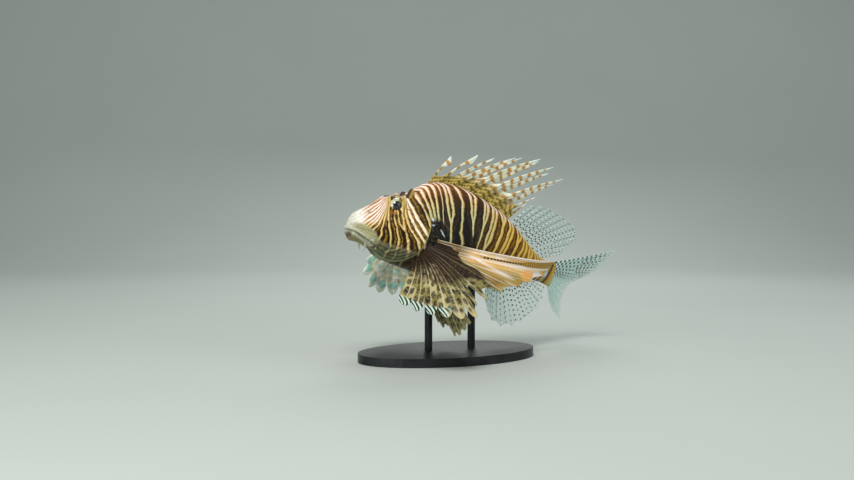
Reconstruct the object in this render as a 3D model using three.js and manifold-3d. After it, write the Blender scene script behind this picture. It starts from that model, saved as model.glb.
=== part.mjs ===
// A life-size red lionfish held over a plain display stand, in millimetres, +Z up.
// The fish is designed straight, snout at x = 0 and tail towards +X, its left side towards -Y,
// then bent along its backbone and pitched nose up. The origin is the middle of the base's underside.

import * as THREE from "three";
import { mergeVertices } from "three/addons/utils/BufferGeometryUtils.js";
import Module from "manifold-3d";

const wasm = await Module();
wasm.setup();

const { PI, abs, cos, exp, hypot, max, min, round, sign, sin, sqrt, tan } = Math;
const radians = THREE.MathUtils.degToRad;

// Driving dimensions
const STANDARD_LENGTH = 230;
const PERCENT = STANDARD_LENGTH / 100;
const PITCH = radians(9);
const FISH_HEIGHT = 104;
const FISH_BALANCE_X = 98;
const GAP = 0.3;
const SKIN_GAP = 0.4;
const COVER_THICKNESS = 1.4;

const TAIL_BEND = radians(19);
const TAIL_DROOP = radians(11);
const BEND_START = 80;

const EYE_RADIUS = 7.2;
const EYE_CENTRE = new THREE.Vector3(37.3, -9.6, 26);
const MOUTH_FRONT_HEIGHT = -0.4;
const MOUTH_ANGLE = radians(22);
const MOUTH_LENGTH = 22.5;
const UPPER_JAW_DEPTH = 9;
const HEAD_END = 66;
const TORSO_END = 164;

const BASE_LENGTH = 170;
const BASE_WIDTH = 104;
const BASE_THICKNESS = 8;
const ROD_RADIUS = 3.5;
const ROD_STATIONS = [84, 130];

// A smooth curve through [x, value] stations, with slopes taken from the neighbours.
function through(stations) {
  const slopes = stations.map((here, i) => {
    const before = stations[max(i - 1, 0)];
    const after = stations[min(i + 1, stations.length - 1)];
    return (after[1] - before[1]) / (after[0] - before[0]);
  });
  return (x) => {
    let i = 0;
    while (i < stations.length - 2 && x > stations[i + 1][0]) i += 1;
    const [x0, v0] = stations[i];
    const [x1, v1] = stations[i + 1];
    const span = x1 - x0;
    const t = min(max((x - x0) / span, 0), 1);
    const a = v0 * (1 + 2 * t) * (1 - t) ** 2 + v1 * (3 - 2 * t) * t ** 2;
    return a + span * (slopes[i] * t * (1 - t) ** 2 - slopes[i + 1] * t ** 2 * (1 - t));
  };
}

// Body profile in percent of standard length: distance from the snout against the size there.
const topShare = through([
  [0, 5.2], [1.5, 6.4], [3, 7.4], [5, 8.8], [8, 10.5], [10.6, 12.6], [12.5, 14], [16, 14.2], [20, 15.2],
  [24, 18.2], [27, 20.6], [31, 22.5], [37, 23.4], [43, 23], [50, 21.6], [57, 19.2], [64, 16.6],
  [72, 12.9], [79, 9.1], [86, 5.8], [92, 4.6], [100, 5.6],
]);
const bottomShare = through([
  [0, -3.6], [1.4, -4.1], [3, -4.3], [5, -4.5], [8, -5.1], [10.3, -5.9], [11.7, -6.8], [13.1, -7.9],
  [14.6, -9], [17.3, -10.1], [20, -10.9], [28, -12.5], [40, -13.8], [54, -13.4], [66, -11.4],
  [80, -7.6], [92, -5.2], [100, -5.3],
]);
const widthShare = through([
  [0, 4.6], [4, 6.2], [10, 8.2], [18, 10], [27, 10.6], [36, 10], [48, 8.4], [62, 6.2],
  [78, 3.6], [92, 1.8], [100, 1.2],
]);
const waistShare = through([[0, 1], [12, 0], [25, -1], [45, 3], [70, 2], [100, 0]]);

// The snout is rounded off over its first few millimetres.
const SNOUT_ROUND = 4;
function snoutShare(x) {
  return x >= SNOUT_ROUND ? 1 : sqrt(max(1 - (1 - x / SNOUT_ROUND) ** 2, 0));
}
const bodyTop = (x) => topShare(x / PERCENT) * PERCENT * snoutShare(x);
const bodyBottom = (x) => bottomShare(x / PERCENT) * PERCENT * snoutShare(x);
const bodyHalfWidth = (x) => widthShare(x / PERCENT) * PERCENT * snoutShare(x);
const bodyWaist = (x) => waistShare(x / PERCENT) * PERCENT * snoutShare(x);
const BACK_FULLNESS = 1.75;
const BELLY_FULLNESS = 2.1;

// Soft swellings and hollows of the head: centre, spread and height, alike on both sides.
const SWELLINGS = [
  { at: [37, 11, 27], spread: 10, height: 3.2 },
  { at: [34, 8, 32.5], spread: 5.5, height: 1.6 },
  { at: [46, 8, 33], spread: 6, height: 1.6 },
  { at: [38, 0, 34], spread: 7, height: -3 },
  { at: [22, 12, 14], spread: 6, height: -1.2 },
  { at: [36, 20, 8], spread: 9, height: 1.4 },
  { at: [56, 24, -2], spread: 11, height: 2 },
];

// A point on the body's surface: angle 0 is the back, a quarter turn the left side.
function bodyPoint(x, angle) {
  const waist = bodyWaist(x);
  const up = cos(angle);
  const side = sin(angle);
  const height = up > 0 ? bodyTop(x) - waist : waist - bodyBottom(x);
  const power = 2 / (up > 0 ? BACK_FULLNESS : BELLY_FULLNESS);
  const y = -bodyHalfWidth(x) * sign(side) * abs(side) ** power;
  return new THREE.Vector3(x, y, waist + height * sign(up) * abs(up) ** power);
}

// Half the body's width at a distance from the snout and a height.
function bodyHalfWidthAt(x, z) {
  const waist = bodyWaist(x);
  const up = z > waist;
  const height = up ? bodyTop(x) - waist : waist - bodyBottom(x);
  const fullness = up ? BACK_FULLNESS : BELLY_FULLNESS;
  return bodyHalfWidth(x) * max(1 - (abs(z - waist) / height) ** fullness, 0) ** (1 / fullness);
}

const HEAD_STATIONS = 17;
const TRUNK_STATIONS = 14;
const BODY_SIDES = 26;

// The whole body from snout to tail root as one closed skin, pushed out by a margin along its normals.
function bodyGeometry(margin) {
  const stations = [];
  for (let i = 0; i < HEAD_STATIONS; i += 1) {
    const t = (i + 0.5) / HEAD_STATIONS;
    stations.push(HEAD_END * (t < 0.3 ? t * t / 0.3 * 0.5 + t * 0.5 : t));
  }
  for (let i = 0; i <= TRUNK_STATIONS; i += 1) {
    stations.push(HEAD_END + ((STANDARD_LENGTH - HEAD_END) * i) / TRUNK_STATIONS);
  }
  const points = [new THREE.Vector3(0, 0, 0)];
  stations.forEach((x) => {
    for (let j = 0; j < BODY_SIDES; j += 1) {
      points.push(bodyPoint(x, (2 * PI * j) / BODY_SIDES));
    }
  });
  points.push(new THREE.Vector3(STANDARD_LENGTH, 0, 0));
  const faces = [];
  const ring = (i, j) => 1 + i * BODY_SIDES + ((j + BODY_SIDES) % BODY_SIDES);
  const last = stations.length - 1;
  for (let j = 0; j < BODY_SIDES; j += 1) {
    faces.push([0, ring(0, j + 1), ring(0, j)]);
    for (let i = 0; i < last; i += 1) {
      faces.push([ring(i, j), ring(i, j + 1), ring(i + 1, j)]);
      faces.push([ring(i, j + 1), ring(i + 1, j + 1), ring(i + 1, j)]);
    }
    faces.push([points.length - 1, ring(last, j), ring(last, j + 1)]);
  }
  const geometry = closedGeometry(points, faces);
  displace(geometry, (point) => swelling(point) + margin);
  return geometry;
}

function swelling(point) {
  return SWELLINGS.reduce((sum, { at, spread, height }) => {
    const distance = hypot(point.x - at[0], abs(point.y) - at[1], point.z - at[2]);
    return sum + height * exp(-((distance / spread) ** 2));
  }, 0);
}

// Geometry and solid helpers
function closedGeometry(points, faces) {
  const geometry = new THREE.BufferGeometry();
  const positions = points.flatMap((p) => [p.x, p.y, p.z]);
  geometry.setAttribute("position", new THREE.Float32BufferAttribute(positions, 3));
  geometry.setIndex(faces.flat());
  return geometry;
}

// Moves every vertex along its normal by distanceAt(point).
function displace(geometry, distanceAt) {
  geometry.computeVertexNormals();
  const position = geometry.getAttribute("position");
  const normal = geometry.getAttribute("normal");
  const point = new THREE.Vector3();
  const way = new THREE.Vector3();
  const moved = [];
  for (let i = 0; i < position.count; i += 1) {
    point.fromBufferAttribute(position, i);
    way.fromBufferAttribute(normal, i);
    moved.push(point.clone().addScaledVector(way, distanceAt(point)));
  }
  moved.forEach((p, i) => position.setXYZ(i, p.x, p.y, p.z));
  geometry.deleteAttribute("normal");
}

function solidOf(geometry) {
  const bare = geometry.clone();
  Object.keys(bare.attributes).filter((n) => n !== "position").forEach((n) => bare.deleteAttribute(n));
  const merged = mergeVertices(bare, 1e-4);
  return new wasm.Manifold(new wasm.Mesh({
    numProp: 3,
    vertProperties: new Float32Array(merged.attributes.position.array),
    triVerts: new Uint32Array(merged.index.array),
  }));
}

function geometryOf(solid) {
  const mesh = solid.getMesh();
  const geometry = new THREE.BufferGeometry();
  geometry.setAttribute("position", new THREE.BufferAttribute(mesh.vertProperties, 3));
  geometry.setIndex(new THREE.BufferAttribute(mesh.triVerts, 1));
  return geometry;
}

const union = (solids) => solids.reduce((sum, next) => sum.add(next));

// The largest closed surface of a solid.
function largest(solid) {
  return solid.decompose().sort((a, b) => b.volume() - a.volume())[0];
}

function boxSolid(low, high, turn = 0, pivot = [0, 0, 0]) {
  const [x0, y0, z0] = low;
  const [x1, y1, z1] = high;
  const geometry = new THREE.BoxGeometry(x1 - x0, y1 - y0, z1 - z0);
  geometry.translate((x0 + x1) / 2, (y0 + y1) / 2, (z0 + z1) / 2);
  geometry.rotateY(turn);
  geometry.translate(...pivot);
  return solidOf(geometry);
}

function sphereSolid(centre, radius, across = 16, down = 12) {
  const geometry = new THREE.SphereGeometry(radius, across, down);
  geometry.rotateX(PI / 2);
  geometry.translate(centre.x, centre.y, centre.z);
  return solidOf(geometry);
}

// A round bar along a smooth curve through the points, with closed ends.
function barSolid(points, radius, sides = 6, steps = points.length * 2) {
  const section = new THREE.Shape();
  section.absellipse(0, 0, radius, radius, 0, 2 * PI);
  const extrudePath = new THREE.CatmullRomCurve3(points);
  const shape = new THREE.Shape(section.getSpacedPoints(sides).slice(0, sides));
  return solidOf(new THREE.ExtrudeGeometry(shape, { steps, extrudePath, bevelEnabled: false }));
}

// A short tapered spine from a root towards a tip.
function spineSolid(root, tip, radius, sides = 5) {
  const length = root.distanceTo(tip);
  const geometry = new THREE.ConeGeometry(radius, length, sides);
  geometry.translate(0, length / 2, 0);
  const turn = new THREE.Quaternion().setFromUnitVectors(
    new THREE.Vector3(0, 1, 0), tip.clone().sub(root).normalize());
  geometry.applyQuaternion(turn);
  geometry.translate(root.x, root.y, root.z);
  return solidOf(geometry);
}

const mirrored = (p) => new THREE.Vector3(p.x, -p.y, p.z);
const point2 = ([x, y]) => new THREE.Vector2(x, y);

// Fins. Each ray is a curve from its root to its tip, and the membrane between two rays reaches
// up to the notch between them, beyond which each ray carries its own vane.
// ray: { at(s), thickness(s), front(s), back(s), notch }, s running from 0 at the root to 1 at the tip.
const STRIP_SHARE = 0.42;
const TIP_THINNING = 0.3;
function finGeometry(rays, rows, membrane) {
  const centre = rays.map((ray) => rows.map((s) => ray.at(s)));
  const last = rays.length - 1;
  const normals = centre.map((line, k) => line.map((_, i) => {
    const along = line[min(i + 1, rows.length - 1)].clone().sub(line[max(i - 1, 0)]);
    const across = centre[min(k + 1, last)][i].clone().sub(centre[max(k - 1, 0)][i]);
    return along.cross(across).normalize();
  }));
  const middle = [];
  const half = [];
  const facing = [];
  rays.forEach((ray, k) => {
    const shoulder = (way) => rows.map((s, i) => {
      const here = centre[k][i];
      const near = centre[min(max(k + way, 0), last)][i];
      const inside = k + way >= 0 && k + way <= last;
      const gap = inside ? near.clone().sub(here) : here.clone().sub(centre[k - way][i]);
      const wide = way < 0 ? ray.front(s) : ray.back(s);
      const reach = inside ? min(wide, STRIP_SHARE * gap.length()) : wide;
      return here.clone().addScaledVector(gap.normalize(), reach);
    });
    const thin = rows.map((s) => membrane * (1 - TIP_THINNING * s));
    [shoulder(-1), centre[k], shoulder(1)].forEach((line, c) => {
      middle.push(line);
      half.push(c === 1 ? rows.map((s) => max(ray.thickness(s), membrane)) : thin);
      facing.push(normals[k]);
    });
  });
  const present = (c, i) => {
    if (c < 0 || c >= middle.length - 1 || i < 0 || i >= rows.length - 1) return false;
    const k = Math.floor(c / 3);
    return c % 3 !== 2 || rows[i] < rays[k].notch - 1e-6;
  };
  return sheetGeometry(middle, half, facing, present);
}

// A closed thin solid over the present cells of a grid, split alike on both faces.
function sheetGeometry(middle, half, facing, present) {
  const points = [];
  const index = new Map();
  const vertex = (c, i, side) => {
    const key = c + "/" + i + "/" + side;
    if (!index.has(key)) {
      index.set(key, points.length);
      points.push(middle[c][i].clone().addScaledVector(facing[c][i], side * half[c][i]));
    }
    return index.get(key);
  };
  const faces = [];
  for (let c = 0; c < middle.length - 1; c += 1) {
    for (let i = 0; i < middle[0].length - 1; i += 1) {
      if (!present(c, i)) continue;
      [1, -1].forEach((side) => {
        const a = vertex(c, i, side);
        const b = vertex(c + 1, i, side);
        const d = vertex(c + 1, i + 1, side);
        const e = vertex(c, i + 1, side);
        faces.push(side > 0 ? [a, d, b] : [a, b, d]);
        faces.push(side > 0 ? [a, e, d] : [a, d, e]);
      });
      const wall = (c0, i0, c1, i1) => {
        faces.push([vertex(c0, i0, 1), vertex(c1, i1, 1), vertex(c1, i1, -1)]);
        faces.push([vertex(c0, i0, 1), vertex(c1, i1, -1), vertex(c0, i0, -1)]);
      };
      if (!present(c, i - 1)) wall(c, i, c + 1, i);
      if (!present(c + 1, i)) wall(c + 1, i, c + 1, i + 1);
      if (!present(c, i + 1)) wall(c + 1, i + 1, c, i + 1);
      if (!present(c - 1, i)) wall(c, i + 1, c, i);
    }
  }
  return closedGeometry(points, faces);
}

const rowsOf = (count) => Array.from({ length: count + 1 }, (_, i) => i / count);

// A ray that leaves its root one way and bends to another.
function rayCurve(root, leaving, arriving, length) {
  return (s) => root.clone()
    .addScaledVector(leaving, length * (s - s * s / 2))
    .addScaledVector(arriving, (length * s * s) / 2);
}

const mix = (a, b, t) => a + (b - a) * t;
// A direction from its angle above the tail's way and its angle outwards, on the left side.
function heading(rise, outward) {
  return new THREE.Vector3(cos(outward) * cos(rise), -sin(outward), cos(outward) * sin(rise));
}
const tapering = (root, tip) => (s) => mix(root, tip, s ** 0.8);
const constant = (value) => () => value;
// A free vane: it widens from its root and is rounded off over its last third.
const VANE_EDGE = 0.35;
const VANE_ROUND = 0.68;
function vane(wide) {
  return (s) => {
    const late = max((s - VANE_ROUND) / (1 - VANE_ROUND), 0);
    return VANE_EDGE + wide * min(0.3 + 2.4 * s, 1) * sqrt(1 - late ** 2);
  };
}

// Builds one fin ray from its row in the fin: a root in the body, two angles and a length.
function ray(root, rise, outward, length, curl, shape) {
  const way = (part) => heading(radians(rise) + part * curl.rise, radians(outward) + part * curl.outward);
  return { at: rayCurve(root, way(1), way(-1), length), ...shape };
}

// Where each fin's roots begin and end, as distances from the snout.
const DORSAL_SPINE_ROOTS = [69, 153];
const SOFT_DORSAL_ROOTS = [159, 203];
const ANAL_ROOTS = [148, 192];
const PELVIC_ROOTS = [80, 90];
const TAIL_ROOT_HEIGHTS = [11.8, -11.6];
const ROOT_DEPTH = 4;
const PELVIC_ROOT_DEPTH = 6;

function dorsalSpines() {
  const spines = 13;
  const lengths = through([[0, 39], [2, 62], [5, 84], [8, 86], [10, 80], [11, 42], [12, 31]]);
  const rises = through([[0, 56], [1, 44], [2, 36], [6, 36], [10, 35], [12, 46]]);
  return Array.from({ length: spines }, (_, k) => {
    const x = mix(...DORSAL_SPINE_ROOTS, k / (spines - 1));
    const root = new THREE.Vector3(x, 0, bodyTop(x) - ROOT_DEPTH);
    const wide = lengths(k) / 28;
    return ray(root, rises(k), k % 2 ? 4 : -4, lengths(k), { rise: 0.1, outward: 0 }, {
      thickness: tapering(1.3, 0.35),
      front: tapering(0.9, 0.3),
      back: (s) => 0.4 + wide * sin(PI * min(s, 1)) ** 0.7,
      notch: 0.25,
    });
  });
}

function softDorsalRays() {
  const rays = 11;
  const lengths = through([[0, 34], [3, 54], [6, 70], [7, 71], [8, 65], [10, 36]]);
  return Array.from({ length: rays }, (_, k) => {
    const t = k / (rays - 1);
    const x = mix(...SOFT_DORSAL_ROOTS, t);
    const root = new THREE.Vector3(x, 0, bodyTop(x) - ROOT_DEPTH);
    return ray(root, mix(50, 24, t), 0, lengths(k), { rise: 0.06, outward: 0 }, {
      thickness: tapering(0.9, 0.3),
      front: constant(0.7),
      back: constant(0.7),
      notch: 0.95,
    });
  });
}

const ANAL_SPINES = 3;
function analRays() {
  const rays = 10;
  const lengths = through([[0, 22], [3, 47], [7, 46], [9, 32]]);
  const rises = through([[0, -84], [2, -81], [4, -59], [7, -29], [9, -6]]);
  return Array.from({ length: rays }, (_, k) => {
    const x = mix(...ANAL_ROOTS, k / (rays - 1));
    const root = new THREE.Vector3(x, 0, bodyBottom(x) + ROOT_DEPTH);
    return ray(root, rises(k), 0, lengths(k), { rise: -0.08, outward: 0 }, {
      thickness: tapering(k < ANAL_SPINES ? 1.2 : 0.9, 0.3),
      front: constant(0.7),
      back: constant(0.7),
      notch: 0.95,
    });
  });
}

function tailRays() {
  const rays = 13;
  const rises = through([[0, 30], [2, 20], [4, 11], [7, 7], [9, 0], [10, -4.5], [12, -16]]);
  const outwards = through([[0, 21], [2, 7], [4, -7], [7, -21], [10, -26], [12, -22]]);
  const lengths = through([[0, 70], [9, 68], [12, 77]]);
  const riseCurls = through([[0, -6], [7, -2], [10, -7], [12, -18]]);
  const outwardCurls = through([[0, -10], [4, 3.5], [7, 10.5], [10, 9], [12, 0]]);
  return Array.from({ length: rays }, (_, k) => {
    const root = new THREE.Vector3(STANDARD_LENGTH - 1, 0, mix(...TAIL_ROOT_HEIGHTS, k / (rays - 1)));
    const curl = { rise: radians(riseCurls(k)), outward: radians(outwardCurls(k)) };
    return ray(root, rises(k), outwards(k), lengths(k), curl, {
      thickness: (s) => mix(2, 0.35, min(s * 1.6, 1) ** 0.5),
      front: constant(0.8),
      back: constant(0.8),
      notch: 0.95,
    });
  });
}

// Pectorals: the top rays run back along the flank and the lowest point down and forward.
const PECTORAL_RAYS = 14;
const PECTORAL_TOP = [70, 2.5];
const PECTORAL_FOOT = [61, -15];
const PECTORAL_BOW = 0.34;
const pectoralCurls = through([[0, -13], [2, -12], [4, -7], [6, 0], [13, 0]]);
// The share of each ray up to which the web behind it reaches: almost whole behind the long top rays.
const pectoralNotch = (k) => (k < 5 ? 0.95 : k === 5 ? 0.86 : 0.74);
const VANE_WIDTH = 5.4;
const LEADING_EDGE = 1;
const PECTORAL_SPREAD = {
  left: {
    rises: through([
      [0, 3.7], [2, -3], [4, -17], [5, -26], [6, -42], [8, -64.5], [10, -91], [12, -107], [13, -117.5],
    ]),
    outwards: through([[0, -5], [2, -3], [4, 14], [6, 38], [8, 52], [10, 54], [13, 34]]),
    lengths: through([
      [0, 164], [1, 158], [2, 143], [3, 116], [5, 81], [7, 80], [8, 96], [10, 92], [11, 80], [13, 60.5],
    ]),
  },
  right: {
    rises: through([[0, 4], [3, -8], [5, -24], [7, -42], [9, -60], [10, -76], [11, -94], [13, -143]]),
    outwards: through([[0, -4], [3, 6], [5, 17], [7, 36], [9, 51], [11, 56], [13, 66]]),
    lengths: through([[0, 152], [3, 124], [5, 95], [7, 84], [9, 88], [10, 82], [11, 72], [13, 47]]),
  },
};
function pectoralRays(side) {
  const { rises, outwards, lengths } = PECTORAL_SPREAD[side];
  return Array.from({ length: PECTORAL_RAYS }, (_, k) => {
    const t = k / (PECTORAL_RAYS - 1);
    const x = mix(PECTORAL_TOP[0], PECTORAL_FOOT[0], t);
    const z = mix(PECTORAL_TOP[1], PECTORAL_FOOT[1], t);
    const root = new THREE.Vector3(x, ROOT_DEPTH / 2 - bodyHalfWidthAt(x, z), z);
    const curl = { rise: radians(pectoralCurls(k)), outward: PECTORAL_BOW };
    return ray(root, rises(k), outwards(k), lengths(k), curl, {
      thickness: tapering(1.4, 0.35),
      front: k === 0 ? constant(LEADING_EDGE) : vane(VANE_WIDTH),
      back: vane(VANE_WIDTH),
      notch: pectoralNotch(k),
    });
  });
}

// Pelvics: the left one stands out from the belly, the right one lies further back.
const PELVIC_SPREAD = {
  left: { rises: through([[0, -71], [2, -70], [5, -50]]), outwards: [24, 10] },
  right: { rises: through([[0, -60], [2, -57], [5, -40]]), outwards: [8, 4] },
};
function pelvicRays(side) {
  const rays = 6;
  const { rises, outwards } = PELVIC_SPREAD[side];
  const lengths = through([[0, 46], [2, 62], [5, 56]]);
  return Array.from({ length: rays }, (_, k) => {
    const t = k / (rays - 1);
    const x = mix(...PELVIC_ROOTS, t);
    const z = bodyBottom(x) + PELVIC_ROOT_DEPTH;
    const root = new THREE.Vector3(x, ROOT_DEPTH - bodyHalfWidthAt(x, z), z);
    return ray(root, rises(k), mix(...outwards, t), lengths(k), { rise: -0.1, outward: 0.05 }, {
      thickness: tapering(1.3, 0.35),
      front: constant(1.2),
      back: constant(1.2),
      notch: 0.95,
    });
  });
}

// Bending along the backbone: the straight design's x follows a curve that turns to the fish's
// right and droops towards the tail.
const BEND_STEPS = 120;
const backbone = [];
{
  const place = new THREE.Vector3();
  const step = (STANDARD_LENGTH * 1.4) / BEND_STEPS;
  for (let i = 0; i <= BEND_STEPS; i += 1) {
    const x = i * step;
    const t = min(max((x - BEND_START) / (STANDARD_LENGTH - BEND_START), 0), 1);
    const share = t * t * (3 - 2 * t);
    const side = TAIL_BEND * share;
    const down = TAIL_DROOP * share;
    const along = new THREE.Vector3(cos(side) * cos(down), sin(side) * cos(down), -sin(down));
    const across = new THREE.Vector3(-sin(side), cos(side), 0);
    backbone.push({ x, place: place.clone(), along, across, up: along.clone().cross(across) });
    place.addScaledVector(along, step);
  }
}

function bent(point) {
  const step = backbone[1].x;
  const i = min(max(Math.floor(point.x / step), 0), BEND_STEPS - 1);
  const t = point.x / step - i;
  const a = backbone[i];
  const b = backbone[i + 1];
  const place = a.place.clone().lerp(b.place, t);
  const across = a.across.clone().lerp(b.across, min(max(t, 0), 1)).normalize();
  const up = a.up.clone().lerp(b.up, min(max(t, 0), 1)).normalize();
  return place.addScaledVector(across, point.y).addScaledVector(up, point.z);
}

function bend(geometry) {
  const position = geometry.getAttribute("position");
  const point = new THREE.Vector3();
  for (let i = 0; i < position.count; i += 1) {
    const moved = bent(point.fromBufferAttribute(position, i));
    position.setXYZ(i, moved.x, moved.y, moved.z);
  }
  return geometry;
}

// Assembly
const FAR = 400;
const ROD_SUNK = 6;
const fish = new THREE.Group();
const stand = new THREE.Group();
const part = new THREE.Group();
part.add(fish, stand);

fish.rotation.y = PITCH;
fish.position.set(-FISH_BALANCE_X * cos(PITCH), 0, FISH_HEIGHT + FISH_BALANCE_X * sin(PITCH));

const finish = {
  skin: { color: 0x8a4a2c, roughness: 0.5, metalness: 0 },
  jaw: { color: 0xd8cbb4, roughness: 0.5, metalness: 0 },
  fin: { color: 0xb98a5e, roughness: 0.45, metalness: 0 },
  eye: { color: 0x14100c, roughness: 0.1, metalness: 0 },
  stand: { color: 0x2a2c2e, roughness: 0.4, metalness: 0.6 },
};
const materials = Object.fromEntries(
  Object.entries(finish).map(([name, look]) => [name, new THREE.MeshStandardMaterial(look)]));

function addFishNode(name, solid, look) {
  const mesh = new THREE.Mesh(bend(geometryOf(largest(solid))), materials[look]);
  mesh.name = name;
  fish.add(mesh);
}

const body = solidOf(bodyGeometry(0));
const bodyClear = solidOf(bodyGeometry(SKIN_GAP));
const bodyProud = solidOf(bodyGeometry(SKIN_GAP + COVER_THICKNESS));

const SIDES = ["left", "right"];
const sided = (solid, side) => (side === "left" ? solid : solid.mirror([0, 1, 0]));
const bothSides = (solids) => SIDES.flatMap((side) => solids.map((solid) => sided(solid, side)));

// A point of the left flank or cheek, lifted off the skin.
function skinPoint(x, z, lift) {
  const point = new THREE.Vector3(x, -bodyHalfWidthAt(x, z), z);
  point.y -= swelling(point) + lift;
  return point;
}

// Mouth: a slit that slopes down to its corners, with a lip along each edge.
function mouthPlate(z0, z1, x1) {
  return boxSolid([-FAR, -FAR, z0], [x1, FAR, z1], MOUTH_ANGLE, [0, 0, MOUTH_FRONT_HEIGHT]);
}

const UPPER_LIP_RADIUS = 1.8;
const LOWER_LIP_RADIUS = 1.5;
const LIP_FRONT_X = 0.6;
const LIP_SHARES = [0.97, 0.74, 0.5, 0.28, 0.1];
function lip(way, radius) {
  const lift = way * (radius + GAP);
  const left = LIP_SHARES.map((share) => {
    const x = MOUTH_LENGTH * cos(MOUTH_ANGLE) * share;
    const sunk = 0.6 + 2 * share ** 6;
    return skinPoint(x, MOUTH_FRONT_HEIGHT - x * tan(MOUTH_ANGLE) + lift, -sunk);
  });
  const front = new THREE.Vector3(LIP_FRONT_X, 0, MOUTH_FRONT_HEIGHT + lift);
  return barSolid([...left, front, ...left.map(mirrored).reverse()], radius, 5, 14);
}

const belowMouth = mouthPlate(-FAR, -GAP / 2, MOUTH_LENGTH - GAP);
const upperJawRegion = mouthPlate(GAP / 2, UPPER_JAW_DEPTH, MOUTH_LENGTH);
const upperJawCut = mouthPlate(-GAP / 2, UPPER_JAW_DEPTH + GAP, MOUTH_LENGTH + GAP);
const lowerJawCut = mouthPlate(-FAR, GAP / 2, MOUTH_LENGTH);
const headRegion = boxSolid([-FAR, -FAR, -FAR], [HEAD_END - GAP, FAR, FAR]);

// Eyes: a ball in a socket, with an upper and a lower lid that meet at the corners.
const eyeOut = new THREE.Vector3(-0.16, -0.95, 0.1).normalize();
const LID_REACH = 6.4;
const LID_OVERLAP = 0.1;
function lid(start, sweep, radius, forward) {
  const facing = new THREE.Quaternion().setFromUnitVectors(new THREE.Vector3(0, 0, 1), eyeOut);
  const place = EYE_CENTRE.clone().addScaledVector(eyeOut, forward);
  const points = rowsOf(6).map((t) => {
    const angle = start + sweep * t;
    const point = new THREE.Vector3(cos(angle) * LID_REACH, sin(angle) * LID_REACH, 0);
    return point.applyQuaternion(facing).add(place);
  });
  return barSolid(points, radius, 5, 8);
}
const lidSweep = PI + 2 * LID_OVERLAP;
const lids = [lid(-LID_OVERLAP, lidSweep, 1.7, 3.6), lid(PI - LID_OVERLAP, lidSweep, 1.4, 3.8)];
const eyeSocket = sphereSolid(EYE_CENTRE, EYE_RADIUS + GAP);
const eyeBall = sphereSolid(EYE_CENTRE, EYE_RADIUS);

// Small forms of the left side of the head: [root x, root z, tip x, tip z, lift of the tip].
const HEAD_SPINES = [
  [56, 38.5, 62, 44.5, 0.8],
  [41, 36, 45, 39.5, 1.5],
  [46, 24, 50, 26, 2.5],
  [27, 12, 30, 10.5, 2.2],
  [35, 8, 38.5, 6.5, 2.4],
  [43, 5, 47, 3.5, 2.6],
  [42, -5, 45.5, -7.5, 2.6],
  [38, -13, 40.5, -16.5, 2.4],
];
const headSpines = HEAD_SPINES.map(([x0, z0, x1, z1, lift]) => {
  return spineSolid(skinPoint(x0, z0, -1.5), skinPoint(x1, z1, lift), 1.7);
});
const BROW_SIDE = 8;
const BROW_LINE = [[26, 21.5], [29.5, 27.5], [34.5, 32.3], [39.5, 31.7], [43, 27]];
const browPoints = BROW_LINE.map(([x, z]) => new THREE.Vector3(x, -BROW_SIDE, z));
const brow = barSolid(browPoints, 2.2, 6, 7);

const NOSTRIL = { x: 14, z: 17.5, radius: 1.4, bore: 0.7, height: 3.4 };
function nostrilSolid(radius, height) {
  const tube = new THREE.CylinderGeometry(radius * 0.8, radius, height, 7);
  tube.rotateX(PI / 2 + 0.5);
  const place = skinPoint(NOSTRIL.x, NOSTRIL.z, 0);
  tube.translate(place.x, place.y, place.z);
  return solidOf(tube);
}

function cirrus(root, tip, radius) {
  return spineSolid(root, tip, radius, 6);
}
const jawCirri = bothSides([
  cirrus(skinPoint(5, 5, -1), skinPoint(1, 8, 3), 1.2),
  cirrus(skinPoint(16, -2, -1), skinPoint(17, -8, 3), 1.3),
]);
const chinBarbel = cirrus(new THREE.Vector3(15, -3, -8.6), new THREE.Vector3(16.5, -4.5, -18.5), 1.3);
const chinBarbels = bothSides([chinBarbel]);

const headForms = bothSides([...lids, ...headSpines, brow, nostrilSolid(NOSTRIL.radius, NOSTRIL.height)]);
const headHollows = bothSides([eyeSocket, nostrilSolid(NOSTRIL.bore, NOSTRIL.height + 1)]);
const head = union([body.intersect(headRegion), ...headForms]).subtract(union(headHollows));
addFishNode("head", head.subtract(upperJawCut).subtract(lowerJawCut), "skin");
const upperJaw = union([body, lip(1, UPPER_LIP_RADIUS), ...jawCirri]);
const lowerJaw = union([body, lip(-1, LOWER_LIP_RADIUS), ...chinBarbels]);
addFishNode("upper_jaw", upperJaw.intersect(upperJawRegion), "jaw");
addFishNode("lower_jaw", lowerJaw.intersect(belowMouth), "jaw");
SIDES.forEach((side) => addFishNode("eye_" + side, sided(eyeBall, side), "eye"));

// Gill covers: thin plates proud of the skin behind the cheeks.
const coverEdge = new THREE.Shape();
coverEdge.moveTo(62, 26);
coverEdge.splineThru([[68, 17], [68.6, 12], [65.4, 1], [61, -9], [54, -17], [43, -20]].map(point2));
coverEdge.splineThru([[47, -6], [51, 8], [55, 20], [62, 26]].map(point2));
const coverShape = new THREE.Shape(coverEdge.getPoints(3));
const coverPrism = new THREE.ExtrudeGeometry(coverShape, { depth: 60, bevelEnabled: false });
coverPrism.rotateX(PI / 2);
const cover = bodyProud.subtract(bodyClear).intersect(solidOf(coverPrism));
SIDES.forEach((side) => addFishNode("gill_cover_" + side, sided(cover, side), "skin"));

// Brow tentacles: short soft knobs above and behind the eyes.
const tentacleCore = spineSolid(new THREE.Vector3(50.3, -7.5, 31), new THREE.Vector3(52.4, -9.6, 45), 3, 9);
const tentacle = tentacleCore.subtract(bodyClear);
SIDES.forEach((side) => addFishNode("brow_tentacle_" + side, sided(tentacle, side), "skin"));

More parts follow.
